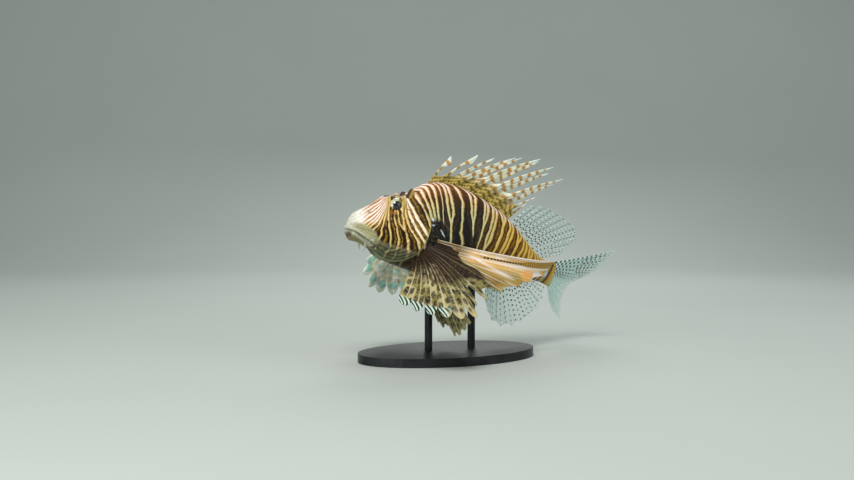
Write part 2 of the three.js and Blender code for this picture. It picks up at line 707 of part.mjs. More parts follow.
addFishNode("torso", body.intersect(boxSolid([HEAD_END, -FAR, -FAR], [TORSO_END - GAP, FAR, FAR])), "skin");
addFishNode("tail_stalk", body.intersect(boxSolid([TORSO_END, -FAR, -FAR], [FAR, FAR, FAR])), "skin");

// Half thicknesses of the webs, and the rows at which the rays are cut up from root to tip.
const DORSAL_WEB = 0.4;
const SOFT_WEB = 0.3;
const PAIRED_WEB = 0.35;
const SPINE_ROWS = [0, 0.12, 0.25, 0.5, 0.75, 0.93, 1];
const VANE_ROWS = [0, 0.16, 0.34, 0.54, 0.74, 0.86, 0.95, 1];
const PELVIC_ROWS = [0, 0.25, 0.5, 0.75, 0.95, 1];
const rooted = (rays, rows, membrane) => solidOf(finGeometry(rays, rows, membrane)).subtract(bodyClear);
addFishNode("dorsal_fin_spines", rooted(dorsalSpines(), SPINE_ROWS, DORSAL_WEB), "fin");
addFishNode("dorsal_fin_soft", rooted(softDorsalRays(), rowsOf(4), SOFT_WEB), "fin");
addFishNode("anal_fin", rooted(analRays(), rowsOf(4), SOFT_WEB), "fin");
const behindBody = boxSolid([STANDARD_LENGTH + GAP, -FAR, -FAR], [FAR, FAR, FAR]);
const tailFan = solidOf(finGeometry(tailRays(), rowsOf(5), SOFT_WEB));
addFishNode("tail_fin", tailFan.intersect(behindBody), "fin");
SIDES.forEach((side) => {
  addFishNode("pectoral_fin_" + side, sided(rooted(pectoralRays(side), VANE_ROWS, PAIRED_WEB), side), "fin");
  addFishNode("pelvic_fin_" + side, sided(rooted(pelvicRays(side), PELVIC_ROWS, PAIRED_WEB), side), "fin");
});

// Stand
part.updateMatrixWorld(true);
const placedBody = solidOf(bend(bodyGeometry(SKIN_GAP)).applyMatrix4(fish.matrixWorld));

function addStandNode(name, solid) {
  const mesh = new THREE.Mesh(geometryOf(largest(solid)), materials.stand);
  mesh.name = name;
  stand.add(mesh);
}

const baseShape = new THREE.Shape();
baseShape.absellipse(0, 0, BASE_LENGTH / 2, BASE_WIDTH / 2, 0, 2 * PI);
const base = solidOf(new THREE.ExtrudeGeometry(baseShape, {
  depth: BASE_THICKNESS, bevelEnabled: false, curveSegments: 32,
}));
addStandNode("stand_base", base);
ROD_STATIONS.forEach((x, i) => {
  const foot = bent(new THREE.Vector3(x, 0, bodyBottom(x))).applyMatrix4(fish.matrixWorld);
  const top = foot.z + ROD_SUNK;
  const low = BASE_THICKNESS + GAP;
  const bar = new THREE.CylinderGeometry(ROD_RADIUS, ROD_RADIUS, top - low, 16);
  bar.rotateX(PI / 2);
  bar.translate(foot.x, foot.y, (top + low) / 2);
  addStandNode(i === 0 ? "stand_rod_front" : "stand_rod_rear", solidOf(bar).subtract(placedBody));
});

export default part;
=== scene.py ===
"""The looks of a red lionfish museum model: one painted skin, fine fins, eyes and a display stand."""

import math
from functools import reduce

import bpy
import numpy as np
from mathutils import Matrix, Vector


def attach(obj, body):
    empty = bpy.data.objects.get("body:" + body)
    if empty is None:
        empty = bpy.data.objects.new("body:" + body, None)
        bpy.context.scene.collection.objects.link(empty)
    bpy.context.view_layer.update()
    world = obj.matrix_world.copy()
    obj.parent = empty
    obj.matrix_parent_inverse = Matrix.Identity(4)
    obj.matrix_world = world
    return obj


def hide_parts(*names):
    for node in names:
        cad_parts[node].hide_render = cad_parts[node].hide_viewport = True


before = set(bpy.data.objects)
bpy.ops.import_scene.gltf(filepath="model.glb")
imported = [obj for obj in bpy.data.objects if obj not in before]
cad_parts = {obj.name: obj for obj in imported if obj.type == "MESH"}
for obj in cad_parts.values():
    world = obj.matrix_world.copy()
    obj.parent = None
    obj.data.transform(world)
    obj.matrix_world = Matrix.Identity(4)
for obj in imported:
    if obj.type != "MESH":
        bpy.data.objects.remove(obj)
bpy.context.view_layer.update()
random = np.random.default_rng(11)

# The part's own measures, in millimetres, as its solids have them
STANDARD_LENGTH = 230.0
PERCENT = STANDARD_LENGTH / 100
PITCH = math.radians(9)
FISH_HEIGHT = 104.0
FISH_BALANCE_X = 98.0
TAIL_BEND = math.radians(19)
TAIL_DROOP = math.radians(11)
BEND_START = 80.0
EYE_RADIUS = 7.2
EYE_CENTRE = np.array([37.3, -9.6, 26])
EYE_OUT = np.array([-0.16, -0.95, 0.1])
EYE_OUT = EYE_OUT / np.linalg.norm(EYE_OUT)
MOUTH_FRONT_HEIGHT = -0.4
MOUTH_ANGLE = math.radians(22)
MOUTH_CORNER_X = 20.9
SNOUT_ROUND = 4.0
BACK_FULLNESS = 1.75
BELLY_FULLNESS = 2.1


def through(stations):
    """A smooth curve through (x, value) stations, with slopes taken from the neighbours."""
    places, values = (np.array(column, float) for column in zip(*stations))
    count = len(places)
    before = np.maximum(np.arange(count) - 1, 0)
    after = np.minimum(np.arange(count) + 1, count - 1)
    slopes = (values[after] - values[before]) / (places[after] - places[before])

    def curve(x):
        x = np.asarray(x, float)
        i = np.clip(np.searchsorted(places, x, side="left") - 1, 0, count - 2)
        span = places[i + 1] - places[i]
        t = np.clip((x - places[i]) / span, 0, 1)
        level = values[i] * (1 + 2 * t) * (1 - t) ** 2 + values[i + 1] * (3 - 2 * t) * t**2
        return level + span * (slopes[i] * t * (1 - t) ** 2 - slopes[i + 1] * t**2 * (1 - t))

    return curve


def mix(a, b, t):
    return a + (b - a) * t


def smooth(low, high, value):
    """0 below low, 1 above high, and a smooth rise between; low may be the larger of the two."""
    t = np.clip((np.asarray(value, float) - low) / (high - low), 0, 1)
    return t * t * (3 - 2 * t)


def unit(vectors):
    """The same directions with a length of 1."""
    return vectors / np.maximum(np.linalg.norm(vectors, axis=-1, keepdims=True), 1e-9)


def bell(value, spread):
    """1 at nought, and falling away to 0 on both sides."""
    return np.exp(-((value / spread) ** 2))


# Body profile in percent of standard length
top_share = through([
    (0, 5.2), (1.5, 6.4), (3, 7.4), (5, 8.8), (8, 10.5), (10.6, 12.6), (12.5, 14), (16, 14.2), (20, 15.2),
    (24, 18.2), (27, 20.6), (31, 22.5), (37, 23.4), (43, 23), (50, 21.6), (57, 19.2), (64, 16.6),
    (72, 12.9), (79, 9.1), (86, 5.8), (92, 4.6), (100, 5.6),
])
bottom_share = through([
    (0, -3.6), (1.4, -4.1), (3, -4.3), (5, -4.5), (8, -5.1), (10.3, -5.9), (11.7, -6.8), (13.1, -7.9),
    (14.6, -9), (17.3, -10.1), (20, -10.9), (28, -12.5), (40, -13.8), (54, -13.4), (66, -11.4),
    (80, -7.6), (92, -5.2), (100, -5.3),
])
width_share = through([
    (0, 4.6), (4, 6.2), (10, 8.2), (18, 10), (27, 10.6), (36, 10), (48, 8.4), (62, 6.2),
    (78, 3.6), (92, 1.8), (100, 1.2),
])
waist_share = through([(0, 1), (12, 0), (25, -1), (45, 3), (70, 2), (100, 0)])


def snout_share(x):
    """The body's share of its size where the snout is rounded off."""
    return np.sqrt(np.clip(1 - np.clip(1 - x / SNOUT_ROUND, 0, None) ** 2, 0, 1))


def sized(share):
    return lambda x: share(np.asarray(x, float) / PERCENT) * PERCENT * snout_share(np.asarray(x, float))


body_top = sized(top_share)
body_bottom = sized(bottom_share)
body_half_width = sized(width_share)
body_waist = sized(waist_share)

# Where the head stands proud of the smooth body, or sinks in: a centre on the right side that serves for
# both sides, the spread and the height.
SWELLINGS = [
    ((37, 11, 27), 10, 3.2),
    ((34, 8, 32.5), 5.5, 1.6),
    ((46, 8, 33), 6, 1.6),
    ((38, 0, 34), 7, -3),
    ((22, 12, 14), 6, -1.2),
    ((36, 20, 8), 9, 1.4),
    ((56, 24, -2), 11, 2),
]


def body_point(x, angle):
    """A point on the body's surface: angle 0 is the back, a quarter turn the left side."""
    waist = body_waist(x)
    up, side = np.cos(angle), np.sin(angle)
    height = np.where(up > 0, body_top(x) - waist, waist - body_bottom(x))
    power = np.where(up > 0, 2 / BACK_FULLNESS, 2 / BELLY_FULLNESS)
    y = -body_half_width(x) * np.sign(side) * np.abs(side) ** power
    return np.stack([x + 0 * y, y, waist + height * np.sign(up) * np.abs(up) ** power], -1)


def half_width_at(x, z):
    """Half the smooth body's width at a height."""
    waist = body_waist(x)
    up = z > waist
    height = np.where(up, body_top(x) - waist, waist - body_bottom(x))
    full = np.where(up, BACK_FULLNESS, BELLY_FULLNESS)
    share = np.abs(z - waist) / np.maximum(height, 1e-6)
    return body_half_width(x) * np.clip(1 - share**full, 0, None) ** (1 / full)


def swelling(points):
    total = np.zeros(points.shape[:-1])
    for at, spread, height in SWELLINGS:
        mirrored = np.stack([points[..., 0], np.abs(points[..., 1]), points[..., 2]], -1)
        distance = np.linalg.norm(mirrored - np.array(at, float), axis=-1)
        total += height * bell(distance, spread)
    return total


# The backbone turns to the fish's right and droops towards the tail.
BEND_STEPS = 120
BEND_STEP = STANDARD_LENGTH * 1.4 / BEND_STEPS


def backbone():
    """Places along the bent backbone, with the directions across and up at each."""
    place = np.zeros(3)
    rows = []
    for i in range(BEND_STEPS + 1):
        share = smooth(BEND_START, STANDARD_LENGTH, i * BEND_STEP)
        side, down = TAIL_BEND * share, TAIL_DROOP * share
        along = np.array([math.cos(side) * math.cos(down), math.sin(side) * math.cos(down), -math.sin(down)])
        across = np.array([-math.sin(side), math.cos(side), 0])
        rows.append((place.copy(), across, np.cross(along, across)))
        place += along * BEND_STEP
    return [np.array(column) for column in zip(*rows)]


SPINE_PLACES, SPINE_ACROSS, SPINE_UP = backbone()


def placed(points):
    """Takes points of the straight design to the row frame, in metres."""
    points = np.asarray(points, float)
    stage = points[..., 0] / BEND_STEP
    i = np.clip(np.floor(stage).astype(int), 0, BEND_STEPS - 1)
    t = (stage - i)[..., None]
    within = np.clip(t, 0, 1)
    place = mix(SPINE_PLACES[i], SPINE_PLACES[i + 1], t)
    across = unit(mix(SPINE_ACROSS[i], SPINE_ACROSS[i + 1], within))
    up = unit(mix(SPINE_UP[i], SPINE_UP[i + 1], within))
    bent = place + across * points[..., 1:2] + up * points[..., 2:3]
    c, s = math.cos(PITCH), math.sin(PITCH)
    x = bent[..., 0] * c + bent[..., 2] * s - FISH_BALANCE_X * c
    z = -bent[..., 0] * s + bent[..., 2] * c + FISH_HEIGHT + FISH_BALANCE_X * s
    return np.stack([x, bent[..., 1], z], -1) / 1000


# Colours
def tone(code):
    """A linear colour from its six hexadecimal digits."""
    values = np.array([int(code[i:i + 2], 16) / 255 for i in (0, 2, 4)])
    return np.where(values <= 0.04045, values / 12.92, ((values + 0.055) / 1.055) ** 2.4)


# Meshes
# Blender's kind of field, and the name of its data, by how many numbers it has
FIELD_KINDS = {1: ("FLOAT", "value"), 3: ("FLOAT_VECTOR", "vector"), 4: ("FLOAT_COLOR", "color")}


def build_mesh(name, points, faces, fields=None):
    """An object from points in metres, faces, and named fields; those called tint are colours."""
    mesh = bpy.data.meshes.new(name)
    points = np.asarray(points, float)
    faces = [np.asarray(f, int) for f in (faces if isinstance(faces, list) else [faces])]
    mesh.vertices.add(len(points))
    mesh.vertices.foreach_set("co", points.ravel())
    corners = np.concatenate([f.ravel() for f in faces])
    sizes = np.concatenate([np.full(len(f), f.shape[1]) for f in faces])
    mesh.loops.add(len(corners))
    mesh.loops.foreach_set("vertex_index", corners)
    mesh.polygons.add(len(sizes))
    mesh.polygons.foreach_set("loop_start", np.concatenate([[0], np.cumsum(sizes)[:-1]]))
    mesh.polygons.foreach_set("loop_total", sizes)
    mesh.update(calc_edges=True)
    mesh.validate()
    for field, values in (fields or {}).items():
        values = np.asarray(values, float)
        if field.startswith("tint"):
            values = np.concatenate([values, np.ones((len(values), 1))], 1)
        kind, key = FIELD_KINDS[values.size // len(values)]
        mesh.attributes.new(field, kind, "POINT").data.foreach_set(key, values.ravel())
    mesh.polygons.foreach_set("use_smooth", np.ones(len(mesh.polygons), bool))
    thing = bpy.data.objects.new(name, mesh)
    bpy.context.scene.collection.objects.link(thing)
    return thing


def grid_faces(rows, columns, wrap=False):
    """Quads between neighbouring points of a grid, closed round its columns if wrap is set."""
    i = np.arange(rows - 1)[:, None]
    j = np.arange(columns if wrap else columns - 1)[None, :]
    k = (j + 1) % columns
    quads = [i * columns + j, i * columns + k, (i + 1) * columns + k, (i + 1) * columns + j]
    return np.stack([np.broadcast_to(q, (rows - 1, j.shape[1])).ravel() for q in quads], 1)


def cap_faces(centre, first, sides, turned=False):
    """Triangles between a centre point and a ring of points that starts at first."""
    j = np.arange(sides)
    k = (j + 1) % sides
    ring = [first + k, first + j] if turned else [first + j, first + k]
    return np.stack([np.full(sides, centre), *ring], 1)


class Gather:
    """Collects several surfaces into one mesh, with their fields."""

    def __init__(self):
        self.points, self.faces, self.fields, self.count = [], [], {}, 0

    def add(self, points, faces, **fields):
        for field, values in fields.items():
            self.fields.setdefault(field, []).append(np.asarray(values, float))
        self.points.append(points)
        faces = faces if isinstance(faces, list) else [faces]
        self.faces += [np.asarray(f, int) + self.count for f in faces]
        self.count += len(points)

    def build(self, name):
        fields = {field: np.concatenate(values) for field, values in self.fields.items()}
        return build_mesh(name, placed(np.concatenate(self.points)), self.faces, fields)


def tube(line, radii, sides=10, axis=None):
    """A round closed bar along a line of points, with its own radius at each; its rings may share an axis."""
    line = np.asarray(line, float)
    radii = np.asarray(radii, float)
    along = unit(np.gradient(line, axis=0) if axis is None else np.broadcast_to(axis, line.shape))
    reference = np.array([0.0, 1.0, 0.0])
    if abs(along[0] @ reference) > 0.8:
        reference = np.array([0.0, 0.0, 1.0])
    side = unit(np.cross(along, reference))
    up = np.cross(side, along)
    angles = np.arange(sides) * 2 * math.pi / sides
    ring = side[:, None] * np.cos(angles)[None, :, None] + up[:, None] * np.sin(angles)[None, :, None]
    points = (line[:, None] + ring * radii[:, None, None]).reshape(-1, 3)
    count = len(points)
    points = np.concatenate([points, line[:1], line[-1:]])
    faces = [
        grid_faces(len(line), sides, wrap=True),
        cap_faces(count, 0, sides, turned=True),
        cap_faces(count + 1, count - sides, sides),
    ]
    shares = np.repeat(np.linspace(0, 1, len(line)), sides)
    return points, faces, np.concatenate([shares, [0, 1]])


def dress(thing, material, slot, *nodes):
    """Gives a piece its material and hides the solids that it replaces; slot is not used."""
    thing.data.materials.append(material)
    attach(thing, "root")
    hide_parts(*nodes)


# Materials
class Paint:
    """A node material, with short names for the nodes that the looks use."""

    def __init__(self, name):
        self.material = bpy.data.materials.new(name)
        self.material.use_nodes = True
        self.tree = self.material.node_tree
        self.shader = self.tree.nodes["Principled BSDF"]

    def put(self, kind, inputs=(), **settings):
        node = self.tree.nodes.new(kind)
        for key, value in settings.items():
            setattr(node, key, value)
        for key, value in (inputs.items() if isinstance(inputs, dict) else enumerate(inputs)):
            self.feed(node.inputs[key], value)
        return node

    def feed(self, socket, value):
        if isinstance(value, bpy.types.NodeSocket):
            self.tree.links.new(value, socket)
        elif value is not None:
            if hasattr(value, "__len__") and len(value) == 3 and len(socket.default_value) == 4:
                value = (*value, 1.0)
            socket.default_value = value

    def math(self, operation, *values):
        return self.put("ShaderNodeMath", values, operation=operation).outputs[0]

    def times(self, *values):
        return reduce(lambda a, b: self.math("MULTIPLY", a, b), values)

    def plus(self, *values):
        return reduce(lambda a, b: self.math("ADD", a, b), values)

    def minus(self, a, b):
        return self.math("SUBTRACT", a, b)

    def most(self, *values):
        return reduce(lambda a, b: self.math("MAXIMUM", a, b), values)

    def size(self, value):
        return self.math("ABSOLUTE", value)

    def zigzag(self, value):
        """Half at whole numbers and 0 halfway between them, in straight lines."""
        return self.size(self.minus(self.math("FRACT", value), 0.5))

    def vector(self, *values):
        return self.put("ShaderNodeCombineXYZ", values).outputs[0]

    def field(self, name):
        return self.put("ShaderNodeAttribute", attribute_name=name).outputs["Vector"]

    def tint(self, name):
        return self.put("ShaderNodeAttribute", attribute_name=name).outputs["Color"]

    def value(self, name):
        return self.put("ShaderNodeAttribute", attribute_name=name).outputs["Fac"]

    def parts(self, name):
        return self.put("ShaderNodeSeparateXYZ", [self.field(name)]).outputs[:3]

    def scaled(self, vector, factors):
        return self.put("ShaderNodeVectorMath", [vector, factors], operation="MULTIPLY").outputs[0]

    def noise(self, vector, scale, detail=2.0):
        inputs = {"Vector": vector, "Scale": scale, "Detail": detail}
        return self.put("ShaderNodeTexNoise", inputs).outputs["Fac"]

    def ramp(self, value, low, high, out_low=0.0, out_high=1.0):
        """A smooth step from out_low to out_high as value goes from low to high."""
        inputs = (value, low, high, out_low, out_high)
        return self.put("ShaderNodeMapRange", inputs, interpolation_type="SMOOTHSTEP").outputs[0]

    def blend(self, share, a, b, mode="MIX"):
        node = self.put("ShaderNodeMix", {0: share, 6: a, 7: b}, data_type="RGBA", blend_type=mode)
        return node.outputs[2]

    def bump(self, height, strength, distance=0.001):
        inputs = {"Strength": strength, "Distance": distance, "Height": height}
        self.feed(self.shader.inputs["Normal"], self.put("ShaderNodeBump", inputs).outputs[0])

    def finish(self, colour, rough, **inputs):
        """Sets the shader's colour, its roughness and its other inputs, named with _ for a space."""
        for key, value in {"Base Color": colour, "Roughness": rough, **inputs}.items():
            self.feed(self.shader.inputs[key.replace("_", " ")], value)
        return self.material


# Skin relief
def line_distance(x, z, line):
    """The distance from each (x, z) to a line of points, and how far along the line the nearest spot is."""
    best = np.full(np.shape(x), 1e9)
    where = np.zeros(np.shape(x))
    side = np.zeros(np.shape(x))
    count = len(line) - 1
    for i in range(count):
        ax, az = line[i]
        bx, bz = line[i + 1]
        dx, dz = bx - ax, bz - az
        t = np.clip(((x - ax) * dx + (z - az) * dz) / (dx * dx + dz * dz), 0, 1)
        distance = np.hypot(x - ax - t * dx, z - az - t * dz)
        closer = distance < best
        best = np.where(closer, distance, best)
        where = np.where(closer, (i + t) / count, where)
        side = np.where(closer, np.sign(dx * (z - az) - dz * (x - ax)), side)
    return best, where, side


def curved(points, steps=60):
    """A smooth line of steps points through a few."""
    points = np.array(points, float)
    at = np.arange(len(points))
    t = np.linspace(0, len(points) - 1, steps)
    return np.stack([through(list(zip(at, column)))(t) for column in points.T], -1)


# The rear edge of the gill cover, from its top round to the throat.
COVER_EDGE = curved([
    (60, 28), (66, 21), (68.6, 13), (66.5, 3), (62, -8), (54.5, -16.5), (44, -21.5), (33, -21), (25, -17),
])
CHEEK_EDGE = curved([(51, 15), (51, 6), (47.5, -3), (41, -10), (32, -14)])
BROW_LINE = curved([(23, 18), (26, 22.5), (29.5, 27.5), (34, 31.8), (39.5, 32), (43.5, 29)], 30)
# Ridges, which both sides share: the line in (x, z), its spread and its height.
RIDGES = [
    (BROW_LINE, 2.0, 1.5),
    (curved([(30, 17.5), (38, 15), (46, 14.5), (53, 13.5)], 20), 1.1, 0.8),
    (curved([(45, 35.5), (51, 39.5), (57, 43)], 12), 1.3, 1.0),
    (curved([(49, 24), (55, 27), (60, 28.5)], 12), 1.2, 0.8),
    (curved([(56, 19), (62, 17.5), (67.5, 14)], 12), 1.0, 0.7),
    (curved([(24, 12), (22.5, 5), (25, -1), (30, -4)], 16), 1.2, 0.7),
    (curved([(12, 12), (17, 17), (21, 21)], 12), 1.5, 0.5),
    (curved([(72.5, 7), (73, 0), (72, -10), (70.5, -20)], 16), 3.2, 1.3),
]
NOSTRIL = (14.0, 17.5)
# The distances between the arcs along the gill cover's lower edge, and between the lines along the jaw
ARC_GAP = 2.7
JAW_LINE_GAP = 1.55


def inside_cover(x, z):
    """How far in front of the gill cover's edge each (x, z) lies."""
    distance, _, side = line_distance(x, z, COVER_EDGE)
    return -distance * side


def mouth_place(x, z):
    """Height over the mouth's slit, and distance along it from the snout."""
    over = z - (MOUTH_FRONT_HEIGHT - x * math.tan(MOUTH_ANGLE))
    return over * math.cos(MOUTH_ANGLE), x / math.cos(MOUTH_ANGLE)


MOUTH_LENGTH = MOUTH_CORNER_X / math.cos(MOUTH_ANGLE)


def maxilla_edge(x, z):
    """How far inside the upper jaw's plate a point lies, in millimetres."""
    over, along = mouth_place(x, z)
    across = (over - 2.6) / mix(2.2, 4.2, smooth(6, 26, along))
    length = (along - 15) / 12.5
    return (1 - np.hypot(across, length)) * 3.4


def relief(points):
    """How far the skin stands proud of the smooth body, in millimetres."""
    x, z = points[:, 0], points[:, 2]
    high = np.zeros(len(x))
    for line, spread, height in RIDGES:
        distance, where, _ = line_distance(x, z, line)
        ends = smooth(0, 0.2, where) * smooth(1, 0.8, where)
        high += height * bell(distance, spread) * mix(0.35, 1, ends)
    inside = inside_cover(x, z)
    sides = smooth(2, 9, np.abs(points[:, 1]))
    high += 1.7 * smooth(-0.5, 0.5, inside) * smooth(15, 2, inside) * sides
    high -= 0.7 * bell(inside + 1.2, 0.9) * sides
    low_cheek = smooth(-3, -9, z) * smooth(0, 1, inside) * smooth(11, 8, inside)
    high += 0.22 * low_cheek * np.cos(inside * 2 * math.pi / ARC_GAP)
    distance, where, side = line_distance(x, z, CHEEK_EDGE)
    high += 0.8 * bell(distance * side - 0.9, 0.9) * (where < 0.999)
    high -= 0.7 * bell(distance * side + 0.6, 0.7) * (where < 0.999)
    over, along = mouth_place(x, z)
    reach = smooth(MOUTH_LENGTH + 1.5, MOUTH_LENGTH - 1.5, along)
    upper_lip = 1.5 * bell(over - 2.1, 1.5)
    lower_lip = 1.0 * bell(over + 1.7, 1.2)
    high += np.where(over > 0, upper_lip, lower_lip) * reach
    high -= 2.0 * bell(over, 0.55) * reach
    plate = maxilla_edge(x, z)
    high += 0.8 * smooth(-0.3, 0.7, plate) * (over > 0)
    high -= 0.35 * bell(plate + 0.5, 0.5) * smooth(4, 10, along)
    nostril = np.hypot(x - NOSTRIL[0], z - NOSTRIL[1])
    high += 0.5 * bell(nostril, 2.2)
    return high


def skin_lift(points):
    """How far the skin lies outside the smooth body, in millimetres."""
    return swelling(points) + relief(points)


def side_point(x, z, lift=0.0):
    """A point of the left flank or cheek, lifted off the skin."""
    x, z = np.broadcast_arrays(np.asarray(x, float), np.asarray(z, float))
    point = np.stack([x, -half_width_at(x, z), z], -1)
    flat = point.reshape(-1, 3)
    point[..., 1] -= skin_lift(flat).reshape(x.shape) + lift
    return point


SIDES = ("left", "right")


def mirror(points):
    return np.asarray(points, float) * np.array([1, -1, 1])


def for_side(side, points, faces):
    """A surface of the left side as it is, or its mirror image for the right side."""
    if side == "left":
        return points, faces
    return mirror(points), [f[:, ::-1] for f in faces] if isinstance(faces, list) else faces[:, ::-1]


# Stripes
# Each pale line crosses its reference height at one of these distances from the snout, in millimetres. From
# there it leans and curves, more or less by its place.
LINES_AT = [
    2.5, 5.5, 8.5, 11.5, 14.5, 17.5, 20, 22, 24.5, 27, 30.5, 36, 39, 43.5, 47, 51.5, 57.5, 64.5, 68, 71, 75,
    80, 85.5, 90, 99.5, 109.5, 113.5, 123.5, 127, 133.5, 138, 145, 151, 157, 162, 170, 177, 182.5, 188, 194,
    199.5, 205.5, 211, 217, 223, 229,
]
line_count = through([(-14, -5)] + [(x, i) for i, x in enumerate(LINES_AT)] + [(240, len(LINES_AT) + 1)])
reference_height = through([(0, 15), (58, 15), (76, 30), (240, 30)])
line_lean = through([
    (0, 1.3), (9, 1.28), (14, 1.12), (19, 0.9), (22, 0.7), (25, 0.45), (28, 0.15), (31, -0.05), (36, -0.05),
    (39, -0.15), (43.5, -0.25), (47, -0.32), (57, -0.62), (66, -0.42), (76, -0.12), (88, -0.11),
    (99.5, -0.09), (105, -0.14), (117, 0.05), (125, 0.2), (140, 0.3), (165, 0.36), (180, 0.42), (230, 0.4),
])
line_curve = through([
    (0, 0), (26, 0), (31, 0.009), (36, 0.012), (39, 0.012), (47, 0.018), (57, 0.008), (66, 0), (240, 0),
])
# Where two neighbouring lines join, going down: a place between them and the height.
FORKS = [(111.5, 24), (125, 23), (88, 20), (135.5, 3), (41, 9), (148, 30), (173, 18), (197, 4), (214, -2)]
# One line ends halfway down the flank, and one is faint.
ENDING_LINE_AT = 111.5
FAINT_LINE_AT = 80
# Half the lines' width in millimetres
line_half_width = through([
    (0, 0.95), (20, 0.75), (26, 0.65), (36, 0.75), (45, 0.95), (54, 1.35), (60, 1.4), (66, 1.0), (76, 0.95),
    (90, 1.05), (112, 1.15), (130, 1.15), (150, 1.3), (230, 1.35),
])
# Towards the middle of the back the lines sweep forwards.
BACK_SWEEP = 9.0
BACK_SWEEP_WIDTH = 8.0
SETTLING_STEPS = 24


def wobble(points, seed, wavelength, terms=10):
    """Smooth random waves between about -1 and 1."""
    draw = np.random.default_rng(seed)
    total = np.zeros(len(points))
    for _ in range(terms):
        way = unit(draw.normal(size=3))
        length = wavelength * draw.uniform(0.7, 1.6)
        total += np.sin(points @ way * 2 * math.pi / length + draw.uniform(0, 2 * math.pi))
    return total / math.sqrt(terms)


def joined(phase, at, z):
    """Brings two lines together below each fork, and leaves the lines on either side in place."""
    for fork_at, fork_z in FORKS:
        i = np.searchsorted(LINES_AT, fork_at)
        before, left, right, after = LINES_AT[i - 2:i + 2]
        middle = (left + right) / 2
        ahead = at < middle
        reach = np.where(ahead, (at - before) / (middle - before), (after - at) / (after - middle))
        share = smooth(fork_z + 7, fork_z - 5, z) * np.clip(reach, 0, 1)
        phase = phase + np.where(ahead, -0.5, 0.5) * share
    return phase


def stripes(points):
    """Phase of the stripes, whole numbers being the middles of pale lines, and the line's own place."""
    x, y, z = points.T
    above = smooth(0, 8, z - body_waist(x))
    sweep = BACK_SWEEP * (1 - np.clip(np.abs(y) / BACK_SWEEP_WIDTH, 0, 1)) ** 2 * above * smooth(38, 60, x)
    at = x.copy()
    for _ in range(SETTLING_STEPS):
        rise = z - reference_height(at)
        target = x + sweep - line_lean(at) * rise - line_curve(at) * np.maximum(rise, -16) ** 2
        at = mix(at, target, 0.4)
    phase = joined(line_count(at), at, z)
    phase = phase + 0.12 * wobble(points, 6, 9) * smooth(34, 22, at)
    return phase + 0.09 * wobble(points, 3, 26) + 0.04 * wobble(points, 4, 9), at


def line_density(points, phase, at):
    """How many lines there are to a millimetre across them."""
    step = 0.4
    change = stripes(points + np.array([step, 0, 0]))[0] - phase
    change = (change + 0.5) % 1 - 0.5
    return np.abs(change) / step * np.hypot(1, line_lean(at))


def ellipse(x, z, centre, radii, tilt=0.0):
    """1 inside a soft-edged ellipse and 0 outside."""
    c, s = math.cos(math.radians(tilt)), math.sin(math.radians(tilt))
    dx, dz = x - centre[0], z - centre[1]
    reach = np.hypot((dx * c + dz * s) / radii[0], (dz * c - dx * s) / radii[1])
    return smooth(1.25, 0.8, reach)


def paint(base, *layers):
    """Lays colours one over another on a base colour: each layer is a share and a colour."""
    colour = tone(base)
    for share, code in layers:
        colour = colour * (1 - share[:, None]) + tone(code) * share[:, None]
    return colour


